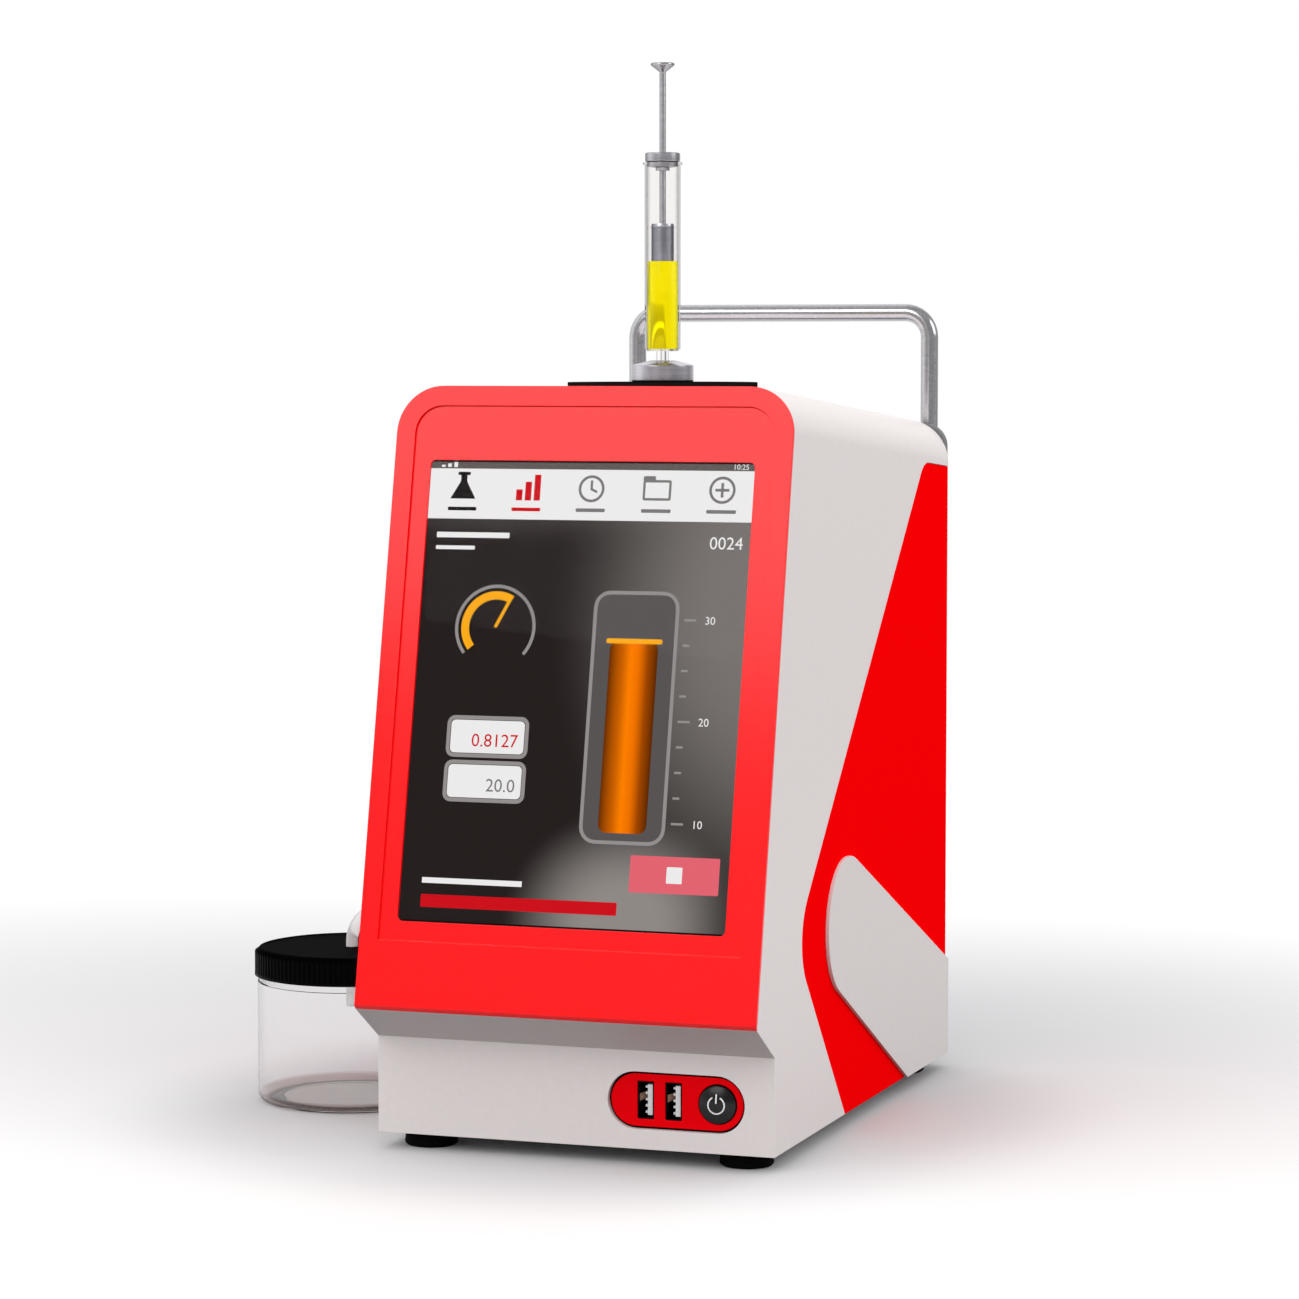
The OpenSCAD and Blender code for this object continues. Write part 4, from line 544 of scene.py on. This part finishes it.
# the back is brought forward to the glass's thickness, so that the picture lies behind it
back_plane = face_foot - face_out * (glass_sink + glass_thick) * mm
for vertex in pane.data.vertices:
    behind = (vertex.co - back_plane).dot(face_out)
    if behind < 0:
        vertex.co -= face_out * behind

# Background: dark on the left, with painted reflections of the room on the right and below.
# Each spot of painted reflection is its middle across and up the face, its reach each way and its strength.
painted_reflection_spots = ((74, 148, 88, 120, 0.17), (22, 34, 46, 42, 0.26), (-30, 196, 110, 30, 0.07))
backdrop, back_nodes, back_links, back_main = shader("picture_ground")
painted_reflections = []
for across, up, wide, tall, amount in painted_reflection_spots:
    spot = back_nodes.new("ShaderNodeMapping")
    spot.vector_type = "TEXTURE"
    spot.inputs["Location"].default_value = face_place(0) @ Vector((across, up, 0))
    spot.inputs["Rotation"].default_value = (-face_tilt, 0, 0)
    spot.inputs["Scale"].default_value = (wide * mm, 1, tall * mm)
    where = back_nodes.new("ShaderNodeTexCoord")
    fall = back_nodes.new("ShaderNodeTexGradient")
    fall.gradient_type = "SPHERICAL"
    back_links.new(where.outputs["Object"], spot.inputs["Vector"])
    back_links.new(spot.outputs["Vector"], fall.inputs["Vector"])
    soft = ramp(back_nodes, back_links, fall.outputs["Fac"],
                [(0.0, (0, 0, 0)), (0.75, shade((1, 0.93, 0.87), amount))])
    soft.color_ramp.interpolation = "EASE"
    painted_reflections.append(soft.outputs["Color"])
total = (0.019, 0.014, 0.0135, 1)
for part in painted_reflections:
    total = mixed(back_nodes, back_links, 1.0, total, part, "ADD")
lit(back_nodes, back_links, back_main, total)

picture_depth = 3.95         # from the face's plane to the picture's ground
picture_half = 63
picture_low, picture_high = 29.8, 199.7
toolbar_low, toolbar_high = 177.1, 195.4


def picture(form, name, finish, lift):
    """Layer of the picture, so many millimetres in front of its ground."""
    made(form, "picture_" + name, finish, "instrument",
         place=face_place(picture_depth - lift))


ground = bmesh.new()
card(ground, -picture_half, picture_low, picture_half, picture_high)
picture(ground, "ground", backdrop, 0)

status = bmesh.new()
card(status, -picture_half, toolbar_high, picture_half, picture_high)
picture(status, "status", glow("status_grey", (0.12, 0.105, 0.1)), 0.02)

# Pale areas: toolbar and the two value boxes
pale = bmesh.new()
card(pale, -picture_half, toolbar_low, picture_half, toolbar_high)
for low, high in ((92.6, 104.4), (76.6, 88.4)):
    card(pale, -47.0, low, -19.0, high, 1.6)
picture(pale, "pale", glow("panel_pale", (0.86, 0.85, 0.85)), 0.04)

# Grey lines: frames of the column gauge and the value boxes, the gauge's scale, the dial
dial_middle = (-33, 138)
scale_low, scale_step = 70, 9
greys = bmesh.new()
card_frame(greys, 4, 62, 36, 152, 6, 1.3)
for low in (91.0, 75.0):
    card_frame(greys, -48.6, low, -17.4, low + 15, 3.0, 1.4)
for step in range(9):
    level = scale_low + scale_step * step
    stroke(greys, (38.0, level), (42.5 if step % 4 == 0 else 40.5, level), 0.8)
arc(greys, dial_middle, 14.2, 15.4, -40, 260)
picture(greys, "greys", glow("frame_grey", (0.3, 0.28, 0.275)), 0.05)

# Black border that is printed behind the edge of the glass
border_inner, border_low, border_high = 62.2, 30, 199.6
border = bmesh.new()
for edge in ((-picture_half, border_low, -border_inner, border_high),
             (border_inner, border_low, picture_half, border_high),
             (-border_inner, 197.8, border_inner, border_high),
             (-border_inner, border_low, border_inner, 32.3)):
    card(border, *edge)
picture(border, "border", glow("border_black", (0.006, 0.004, 0.004)), 0.1)

column_glass = bmesh.new()
card(column_glass, 5, 63, 35, 151, 5.2)
picture(column_glass, "column_glass", glow("column_grey", (0.1, 0.09, 0.09)), 0.03)

# Orange column of the gauge, dark at both sides as a round one would be
column_left, column_wide = 0.011, 0.018      # metres from the housing's middle plane
column_fire, fire_nodes, fire_links, fire_main = shader("column_orange")
fire_place = fire_nodes.new("ShaderNodeTexCoord")
fire_map = fire_nodes.new("ShaderNodeMapping")
fire_map.inputs["Location"].default_value = (-(side_shift + column_left) / column_wide, 0, 0)
fire_map.inputs["Scale"].default_value = (1 / column_wide, 0, 0)
fire_run = fire_nodes.new("ShaderNodeTexGradient")
fire_links.new(fire_place.outputs["Object"], fire_map.inputs["Vector"])
fire_links.new(fire_map.outputs["Vector"], fire_run.inputs["Vector"])
fire_tone = ramp(fire_nodes, fire_links, fire_run.outputs["Fac"],
                 [(0.0, (0.13, 0.025, 0.0)), (0.28, (0.62, 0.12, 0.0)), (0.45, (1.0, 0.22, 0.0)),
                  (0.62, (0.9, 0.17, 0.0)), (0.8, (0.35, 0.06, 0.0)), (1.0, (0.1, 0.02, 0.0))])
lit(fire_nodes, fire_links, fire_main, fire_tone.outputs["Color"])
column = bmesh.new()
card(column, 11, 66, 29, 134, 3)
picture(column, "column", column_fire, 0.05)

amber = bmesh.new()
arc(amber, dial_middle, 10.0, 13.0, 60, 160)
stroke(amber, dial_middle, (-28, 148), 1.2)             # the dial's needle
card(amber, 9.5, 133.2, 30.5, 135.0, 0.8)               # level mark on the column
picture(amber, "amber", glow("amber", (1.0, 0.42, 0.01)), 0.07)

# The toolbar's five signs stand on a middle line, each with an underline.
sign_middle = 188.5


def underline(form, middle):
    card(form, middle - 5.5, 180.1, middle + 5.5, 181.4, 0.3)


# Red: bar of progress, figures in the upper box, second sign
value_right, value_tall = -21.2, 4.6
reds = bmesh.new()
card(reds, -54, 37.0, 20, 41.6, 0.4)
figures(reds, "0.8127", value_right, 95.0, value_tall)
for step, tall in enumerate((4.0, 6.8, 9.4)):
    card(reds, -28.6 + 3.4 * step, 184.0, -26.2 + 3.4 * step, 184.0 + tall, 0.2)
underline(reds, -24.5)
picture(reds, "reds", glow("signal", (0.62, 0.006, 0.012)), 0.07)

button_glow = bmesh.new()
card(button_glow, 24, 45.5, 57, 58.5, 0.5)
picture(button_glow, "button", glow("button_pink", (0.78, 0.13, 0.17)), 0.07)

# Dark: the first sign, a flask
darks = bmesh.new()
flask = bmesh.ops.create_circle(darks, cap_ends=True, cap_tris=False, segments=3, radius=5.6)
bmesh.ops.translate(darks, vec=(-49, 187.2, 0), verts=flask["verts"])
card(darks, -50.2, 188.2, -47.8, 193.8)
card(darks, -51.4, 193.0, -46.6, 194.2, 0.4)
underline(darks, -49)
picture(darks, "darks", glow("ink", (0.012, 0.01, 0.01)), 0.07)

# Grey: the other signs, a clock, a folder and a cross; figures of the lower box
folder, cross = 24.7, 49
marks = bmesh.new()
arc(marks, (0, sign_middle), 3.9, 4.9, 0, 360)
stroke(marks, (0, sign_middle), (0, 191.5), 0.9)
stroke(marks, (-0.3, sign_middle), (2.2, 187.3), 0.9)
card_frame(marks, 19.4, 184.5, 30.0, 191.9, 0.8, 0.9)
card(marks, 19.4, 191.5, 24.0, 193.3, 0.5)
arc(marks, (cross, sign_middle), 3.9, 4.9, 0, 360)
stroke(marks, (46.4, sign_middle), (51.6, sign_middle), 1.0)
stroke(marks, (cross, 185.9), (cross, 191.1), 1.0)
for middle in (0, folder, cross):
    underline(marks, middle)
figures(marks, "20.0", value_right, 79.0, value_tall)
picture(marks, "marks", glow("mark_grey", (0.2, 0.19, 0.19)), 0.08)

# White: the status bar's time and level bars, sample number, lines, scale's figures and the
# button's square
status_low = 195.9
whites = bmesh.new()
figures(whites, "10:25", 58.5, status_low, 1.9)
for step in range(3):
    card(whites, -58 + 2.4 * step, status_low, -56.6 + 2.4 * step, 196.7 + 0.5 * step)
figures(whites, "0024", 58, 167.4, 4.4)
stroke(whites, (-58, 171.2), (-30, 171.2), 2.0)
stroke(whites, (-58, 166.6), (-43, 166.6), 1.4)
for step, value in enumerate(("10", "20", "30")):
    figures(whites, value, 49.6, 68.6 + 4 * scale_step * step, 2.8)
stroke(whites, (-54, 46.6), (-16, 46.6), 2.0)
card(whites, 37.6, 49.1, 43.4, 54.9, 0.4)
picture(whites, "whites", glow("white_mark", (0.86, 0.85, 0.85)), 0.09)

# ---- Control plate
# Red moulded plate with two upright USB sockets and the power button, snapped into the
# housing's lower front. The sockets' shells are blackened steel.


def along(nodes, links, axis, start, end, low=0.0, high=1.0):
    """Goes from low to high between two places on the piece's X, Y or Z axis."""
    split = nodes.new("ShaderNodeSeparateXYZ")
    links.new(nodes["Mapping"].outputs["Vector"], split.inputs["Vector"])
    reach = nodes.new("ShaderNodeMapRange")
    for socket, value in (("From Min", start), ("From Max", end), ("To Min", low), ("To Max", high)):
        reach.inputs[socket].default_value = value
    links.new(split.outputs[axis], reach.inputs["Value"])
    return reach.outputs["Result"]


plate_paint = lacquered("plate_paint", (0.8, 0.0006, 0.004), 0.34, 0.0, specular=0.02)
# painted shade: the flange behind the face, in the groove round the plate, is coloured near black
plate_nodes, plate_links = plate_paint.node_tree.nodes, plate_paint.node_tree.links
plate_groove_shade = along(plate_nodes, plate_links, "Y", depth_shift + 0.0016, depth_shift + 0.0018)
plate_tone_and_shade = mixed(plate_nodes, plate_links, plate_groove_shade, plate_nodes["Color Ramp"].outputs["Color"],
                   (0.006, 0.0006, 0.0006, 1))
plate_links.new(plate_tone_and_shade, plate_nodes["Principled BSDF"].inputs["Base Color"])
eased("control_plate", plate_paint, 0.0004)
shell_black = sheet_metal("shell_black", (0.012, 0.011, 0.012), (1, 1, 1))
eased("usb_shells", shell_black, 0.0001)
tongue_white = moulded("tongue_white", (0.72, 0.72, 0.73), 0.4, 3000)
eased("usb_tongues", tongue_white, 0.0001)

controls_z = 0.0234          # middle of the sockets and the button, above the bench
usb_places = (side_shift + 0.0268, side_shift + 0.0372)
contact_white = moulded("contact_white", (0.66, 0.66, 0.68), 0.35, 3000)
leaf_copper = sheet_metal("leaf_copper", (0.78, 0.5, 0.38), (1, 0.1, 1))

# five white ribs stand on each socket's tongue
rib_size = (0.0010, 0.0060, 0.0008)
rib_depth, rib_pitch = 0.0062, 0.00225
contacts = bmesh.new()
for place in usb_places:
    for step in range(5):
        rib = bmesh.ops.create_cube(contacts, size=1.0)
        bmesh.ops.scale(contacts, vec=rib_size, verts=rib["verts"])
        rib_place = (place - 0.0001, depth_shift + rib_depth, controls_z + (step - 2) * rib_pitch)
        bmesh.ops.translate(contacts, vec=rib_place, verts=rib["verts"])
made(contacts, "usb_contacts", contact_white, "instrument")

# a copper spring leaf leans inwards from the mouth of each shell
leaf_side, leaf_depth, leaf_up = 0.0024, 0.0022, 0.0008     # outer end, from the socket's middle
leaf_lean, leaf_reach, leaf_rise = 0.0021, 0.004, 0.0008    # from there to its inner end
leaf_wide, leaf_thick = 0.0026, 0.00015
leaves = bmesh.new()
for place in usb_places:
    leaf = bmesh.ops.create_grid(leaves, x_segments=4, y_segments=1, size=0.5)
    for vertex in leaf["verts"]:
        inwards = vertex.co.x + 0.5
        vertex.co = Vector((place - leaf_side + leaf_lean * inwards,
                            depth_shift + leaf_depth + leaf_reach * inwards,
                            controls_z + leaf_up + leaf_wide * vertex.co.y + leaf_rise * inwards))
bmesh.ops.recalc_face_normals(leaves, faces=leaves.faces)
bmesh.ops.solidify(leaves, geom=leaves.faces[:], thickness=leaf_thick)
made(leaves, "usb_leaves", leaf_copper, "instrument")

# ---- Power button
# Domed gloss black cap with a printed white ring and bar, on the stem of a push switch.

button_x = side_shift + 0.0536
button_gloss = lacquered("button_gloss", (0.004, 0.004, 0.0045), 0.26, 0.0, specular=0.4,
                         depth=0.00001)
eased("power_button", button_gloss, 0.0002)
switch_plastic = moulded("switch_plastic", (0.02, 0.02, 0.021), 0.55)
coat(["button_switch"], switch_plastic)

symbol_white = moulded("symbol_white", (0.85, 0.85, 0.86), 0.4, 3000)
symbol = bmesh.new()
arc(symbol, (0, 0), 2.75, 3.25, 118, 304, 36)
bar_low, bar_step, bar_wide = 0.7, 0.54, 0.5
for step in range(6):                     # short lengths of the bar, which follow the dome
    low, high = bar_low + bar_step * step, bar_low + bar_step * (step + 1)
    stroke(symbol, (0, low), (0, high), bar_wide)
upright = Matrix(((mm, 0, 0, button_x),
                  (0, 0, -mm, depth_shift),
                  (0, mm, 0, controls_z),
                  (0, 0, 0, 1)))
bmesh.ops.transform(symbol, matrix=upright, verts=symbol.verts)
dome_r = 15.46 * mm
dome_front = depth_shift - 0.0008         # stands a little proud of the plate
print_height = 0.00004
for vertex in symbol.verts:
    off = math.dist((vertex.co.x, vertex.co.z), (button_x, controls_z))
    vertex.co.y = dome_front + dome_r - math.sqrt(dome_r ** 2 - off ** 2) - print_height
made(symbol, "button_symbol", symbol_white, "power_button")

# ---- Platform and inlet port
# Black anodised disc that levels the sloping top, with the turned steel inlet port and
# its rubber seal on it. The port's seat takes the syringe's tip.


def turned_metal(name, colour, roughness, rim=1.0):
    """Lathe-turned metal with fine rings; rim is what is left of its colour edge-on, a painted shade."""
    finish, nodes, links, main = shader(name)
    main.inputs["Metallic"].default_value = 1.0
    rings = fine_noise(nodes, links, 1400, 2.0, (0.02, 0.02, 1))
    tone = ramp(nodes, links, rings.outputs["Fac"],
                [(0.3, shade(colour, 0.93)), (0.7, shade(colour, 1.05))])
    slant = nodes.new("ShaderNodeLayerWeight")
    painted_edge_shade = ramp(nodes, links, slant.outputs["Facing"], [(0.08, (1, 1, 1)), (0.6, (rim, rim, rim))])
    both = mixed(nodes, links, 1.0, tone.outputs["Color"], painted_edge_shade.outputs["Color"], "MULTIPLY")
    links.new(both, main.inputs["Base Color"])
    roughened(nodes, links, main, rings, roughness - 0.05, roughness + 0.06)
    bumped(nodes, links, main, rings.outputs["Fac"], 0.00002, 0.2)
    return finish


anodised = moulded("black_anodised", (0.008, 0.006, 0.006), 0.45, 3200, 0.00002, 0.0)
port_steel = turned_metal("port_steel", (0.78, 0.75, 0.81), 0.2)
eased("top_platform", anodised, 0.0002)
eased("port_seal", foot_rubber, 0)
eased("inlet_port", port_steel, 0.00015)

# ---- Sample syringe
# Glass barrel with a ground tip, a steel end cap pressed into it, a steel piston in a clear
# sleeve on a steel rod, and the yellow sample under the piston.

port_x = side_shift
port_y = depth_shift + 0.098
barrel_glass = clear("barrel_glass", (0.955, 0.945, 0.94), 0.0, 1.07, rim=0.3)
eased("syringe_barrel", barrel_glass, 0)
seal_clear = clear("seal_clear", (0.97, 0.97, 0.97), 0.0, 1.03)
eased("piston_seal", seal_clear, 0)
cap_ring_steel = turned_metal("cap_ring_steel", (0.88, 0.87, 0.93), 0.2, rim=0.45)
eased("syringe_end_cap", cap_ring_steel, 0.00015)
rod_steel = turned_metal("rod_steel", (0.86, 0.86, 0.9), 0.24, rim=0.4)
eased("plunger_rod", rod_steel, 0.0001)
piston_grey = turned_metal("piston_grey", (0.78, 0.78, 0.88), 0.3, rim=0.25)
eased("piston", piston_grey, 0.00015)

sample, sample_nodes, sample_links, sample_main = shader("sample_yellow")
sample_flow = fine_noise(sample_nodes, sample_links, 120, 2.0)
sample_tone = ramp(sample_nodes, sample_links, sample_flow.outputs["Fac"],
                   [(0.35, (0.9, 0.76, 0.0)), (0.65, (0.97, 0.84, 0.001))])
# painted highlight: the sample turns bright yellow towards its edges, where it is seen edge-on
sample_edge = sample_nodes.new("ShaderNodeLayerWeight")
sample_edge_highlight = ramp(sample_nodes, sample_links, sample_edge.outputs["Facing"],
                   [(0.08, (0, 0, 0)), (0.5, (1, 1, 1))])
sample_tone_and_highlight = mixed(sample_nodes, sample_links, sample_edge_highlight.outputs["Color"],
                    sample_tone.outputs["Color"], (1.0, 0.94, 0.02, 1))
sample_links.new(sample_tone_and_highlight, sample_main.inputs["Base Color"])
sample_main.inputs["Transmission Weight"].default_value = 0.75
sample_main.inputs["Roughness"].default_value = 0.03
sample_main.inputs["IOR"].default_value = 1.2

liquid_r = 0.00579           # just inside the barrel's bore
liquid_low, liquid_high = 0.2884, 0.3210
liquid = bmesh.new()
bmesh.ops.create_cone(liquid, cap_ends=True, cap_tris=False, segments=64, radius1=liquid_r,
                      radius2=liquid_r, depth=liquid_high - liquid_low)
bmesh.ops.translate(liquid, vec=(port_x, port_y, (liquid_low + liquid_high) / 2), verts=liquid.verts)
rims = [e for e in liquid.edges if abs(e.verts[0].co.z - e.verts[1].co.z) < 1e-6]
bmesh.ops.bevel(liquid, geom=rims, offset=0.0003, offset_type="OFFSET", segments=2, profile=0.5,
                affect="EDGES", clamp_overlap=True, material=-1)
liquid_piece = made(liquid, "sample_column", sample, None, smooth=True)
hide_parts("sample_liquid")
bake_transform(liquid_piece, "syringe", "plunger", start=(port_x, port_y, liquid_low),
         end=(port_x, port_y, liquid_high))

# ---- Rear panel, sockets and fan
# Painted steel panel with vents and a fan grille, held by pan-head screws. The fan blows
# through the grille; the mains inlet and the network socket sit in the panel's cut-outs.

panel_paint = moulded("panel_paint", (0.16, 0.16, 0.165), 0.5, 1500, 0.00005)
eased("rear_panel", panel_paint, 0.0003)
eased("rear_screws", screw_steel, 0.0001)
fan_plastic = moulded("fan_plastic", (0.016, 0.016, 0.017), 0.45)
eased("fan_frame", fan_plastic, 0.0003)
eased("fan_rotor", fan_plastic, 0.0002)
inlet_plastic = moulded("inlet_plastic", (0.012, 0.012, 0.013), 0.35)
eased("mains_inlet", inlet_plastic, 0.0003)
socket_tin = sheet_metal("socket_tin", (0.62, 0.62, 0.64), (1, 1, 0.1))
eased("network_socket", socket_tin, 0.0002)

# ---- Carrying handle
# One bent and polished steel rod, screwed through the rear panel, with a turned rosette
# round each foot of the rod.

handle_chrome = sheet_metal("handle_chrome", (0.72, 0.71, 0.74), (1, 1, 1), 0.18, 0.25)
eased("handle_rod", handle_chrome, 0.0001)
eased("handle_rosettes", handle_chrome, 0.0003)
eased("handle_screws", screw_steel, 0)

# ---- Waste fitting and jar
# Turned fitting in the left side for the hose. The jar is clear moulded plastic, closed
# by a ribbed black cap with a soft white liner, and the hose goes through both.

eased("waste_nipple", port_steel, 0.0001)
jar_clear = clear("jar_clear", (0.995, 0.993, 0.993), 0.01, 1.2, rim=0.97)
# painted shade: the jar is coloured greyer in its bottom, for the shade of the bench under it
jar_nodes, jar_links = jar_clear.node_tree.nodes, jar_clear.node_tree.links
bottom_high, wall_low = 0.003, 0.0045
jar_shade_mask = along(jar_nodes, jar_links, "Z", wall_low, bottom_high)
jar_shaded_tint = mixed(jar_nodes, jar_links, jar_shade_mask, jar_nodes["Color Ramp"].outputs["Color"],
                 (0.73, 0.645, 0.63, 1), "MULTIPLY")
jar_links.new(jar_shaded_tint, jar_nodes["Principled BSDF"].inputs["Base Color"])
eased("waste_jar", jar_clear, 0)
liner_white = moulded("liner_foam", (0.75, 0.75, 0.73), 0.8, 1500, 0.0001, 0.1)
eased("cap_liner", liner_white, 0.0001)
cap_black = moulded("cap_black", (0.0012, 0.001, 0.001), 0.36, 2200, 0.00003, 0.0)
cap_nodes, cap_links = cap_black.node_tree.nodes, cap_black.node_tree.links
# the ribs shine, the flat top above them is matt
rib_high, top_low = 0.0575, 0.058
cap_shine = along(cap_nodes, cap_links, "Z", rib_high, top_low, 0.03, 0.0004)
cap_links.new(cap_shine, cap_nodes["Principled BSDF"].inputs["Specular IOR Level"])
eased("jar_cap", cap_black, 0.00015)

# ---- Studio
# Pale bench that fades into a white room, lit by a soft dome from above, a large soft
# lamp in front at the left and a weaker one at the right.

bench_card, bench_nodes, bench_links, bench_main = shader("bench_card")
bench_nodes.remove(bench_main)
bench_path = bench_nodes.new("ShaderNodeLightPath")
bench_place = bench_nodes.new("ShaderNodeTexCoord")


def pool(centre, reach):
    """Falls from one at the centre to nought at the reach, on the bench."""
    spot = bench_nodes.new("ShaderNodeMapping")
    spot.vector_type = "TEXTURE"
    spot.inputs["Location"].default_value = centre
    spot.inputs["Scale"].default_value = reach
    fall = bench_nodes.new("ShaderNodeTexGradient")
    fall.gradient_type = "SPHERICAL"
    bench_links.new(bench_place.outputs["Object"], spot.inputs["Vector"])
    bench_links.new(spot.outputs["Vector"], fall.inputs["Vector"])
    return fall.outputs["Fac"]


# painted shadow: the bench is coloured darker in a wide pool round and behind the instrument, and darker
# still close round it
bench_shadow_pool = ramp(bench_nodes, bench_links, pool((-0.05, 0.22, 0), (0.8, 0.46, 1)),
                  [(0.0, (0.72, 0.72, 0.72)), (1.0, (0.52, 0.52, 0.53))])
bench_contact_shadow = ramp(bench_nodes, bench_links, pool((0.02, -0.02, 0), (0.34, 0.34, 1)),
                  [(0.4, (1, 1, 1)), (0.62, (0.85, 0.84, 0.85))])
for tone in (bench_shadow_pool, bench_contact_shadow):
    tone.color_ramp.interpolation = "EASE"
bench_pale = bench_nodes.new("ShaderNodeBsdfDiffuse")
bench_links.new(mixed(bench_nodes, bench_links, 1.0, bench_shadow_pool.outputs["Color"],
                      bench_contact_shadow.outputs["Color"], "MULTIPLY"), bench_pale.inputs["Color"])
# the bench throws little light back at the instrument, and ends in the white of the room
bench_dull = bench_nodes.new("ShaderNodeBsdfDiffuse")
bench_dull.inputs["Color"].default_value = (0.14, 0.13, 0.13, 1)
bench_seen = both_finishes(bench_nodes, bench_links, bench_path.outputs["Is Diffuse Ray"],
                           bench_pale.outputs["BSDF"], bench_dull.outputs["BSDF"])
bench_clear = bench_nodes.new("ShaderNodeBsdfTransparent")
bench_fade = bench_nodes.new("ShaderNodeMapRange")
bench_fade.inputs["From Min"].default_value = 0.12
bench_fade.inputs["From Max"].default_value = 0.6
bench_links.new(pool((0, 0, 0), (1.5, 1.5, 1)), bench_fade.inputs["Value"])
bench_out = both_finishes(bench_nodes, bench_links, bench_fade.outputs["Result"],
                          bench_clear.outputs["BSDF"], bench_seen)
bench_links.new(bench_out, bench_nodes["Material Output"].inputs["Surface"])

bench = bmesh.new()
bmesh.ops.create_grid(bench, x_segments=2, y_segments=2, size=6.0)
bench_mesh = bpy.data.meshes.new("bench")
bench.to_mesh(bench_mesh)
bench.free()
bench_mesh.materials.append(bench_card)
bench_piece = bpy.data.objects.new("bench", bench_mesh)
bpy.context.scene.collection.objects.link(bench_piece)

# The camera sees a plain white room. It lights the instrument as a dome from above, and
# what shines mirrors it bright behind the instrument and dim in front of it.
room = bpy.data.worlds.new("room")
bpy.context.scene.world = room
room.use_nodes = True
room_nodes, room_links = room.node_tree.nodes, room.node_tree.links
room_path = room_nodes.new("ShaderNodeLightPath")
room_way = room_nodes.new("ShaderNodeTexCoord")


def room_level(axis, stops):
    """Brightness of the room along an axis, from a list of (place from 0 to 1, level)."""
    lean = room_nodes.new("ShaderNodeVectorMath")
    lean.operation = "DOT_PRODUCT"
    lean.inputs[1].default_value = axis
    room_links.new(room_way.outputs["Generated"], lean.inputs[0])
    place = room_nodes.new("ShaderNodeMapRange")
    place.inputs["From Min"].default_value = -1.0
    room_links.new(lean.outputs["Value"], place.inputs["Value"])
    levels = room_nodes.new("ShaderNodeValToRGB")
    while len(levels.color_ramp.elements) < len(stops):
        levels.color_ramp.elements.new(0.5)
    for element, (spot, level) in zip(levels.color_ramp.elements, stops):
        element.position = spot
        element.color = (level, level, level, 1)
    room_links.new(place.outputs["Result"], levels.inputs["Fac"])
    return levels.outputs["Color"]


def combined(operation, first, second):
    """Two values of the light's path in one, kept between nought and one."""
    result = room_nodes.new("ShaderNodeMath")
    result.operation = operation
    result.use_clamp = True
    room_links.new(first, result.inputs[0])
    room_links.new(second, result.inputs[1])
    return result.outputs["Value"]


# seen straight on or through glass, against mirrored in something shiny
path_out = room_path.outputs
through = combined("SUBTRACT", path_out["Is Transmission Ray"], path_out["Glossy Depth"])
in_sight = combined("MAXIMUM", path_out["Is Camera Ray"], through)
shiny = combined("SUBTRACT", path_out["Glossy Depth"], path_out["Is Diffuse Ray"])
dome = room_level((0, 0, 1), [(0.45, 0.29), (0.5, 1.0), (1.0, 1.0)])
mirrored = room_level((-0.8, 0.6, 0),
                      [(0.0, 0.25), (0.12, 0.25), (0.22, 0.34), (0.42, 0.26), (0.62, 0.5),
                       (0.78, 0.82), (0.88, 0.85), (1.0, 0.6)])
room_lit = mixed(room_nodes, room_links, shiny, dome, mirrored)
room_colour = mixed(room_nodes, room_links, in_sight, room_lit, (1, 1, 1, 1))
# the room's strength is 1 where it is seen and more where it lights
room_strength = room_nodes.new("ShaderNodeMapRange")
room_strength.inputs["To Min"].default_value = 1.35
room_strength.inputs["To Max"].default_value = 1.0
room_links.new(combined("MAXIMUM", in_sight, shiny), room_strength.inputs["Value"])
room_links.new(room_colour, room_nodes["Background"].inputs["Color"])
room_links.new(room_strength.outputs["Result"], room_nodes["Background"].inputs["Strength"])


def soft_lamp(name, place, aim, wide, tall, power):
    """Rectangular soft light that faces the point aim."""
    data = bpy.data.lights.new(name, "AREA")
    data.shape = "RECTANGLE"
    data.size = wide
    data.size_y = tall
    data.energy = power
    lamp = bpy.data.objects.new(name, data)
    lamp.location = place
    lamp.rotation_euler = (Vector(aim) - Vector(place)).to_track_quat("-Z", "Y").to_euler()
    bpy.context.scene.collection.objects.link(lamp)


soft_lamp("front_lamp", (-0.99, -2.94, 2.03), (0.04, -0.1, 0.17), 2.2, 1.7, 30.5)
soft_lamp("right_lamp", (1.7, 0.2, 1.0), (0.1, 0, 0.2), 1.0, 1.0, 5.5)
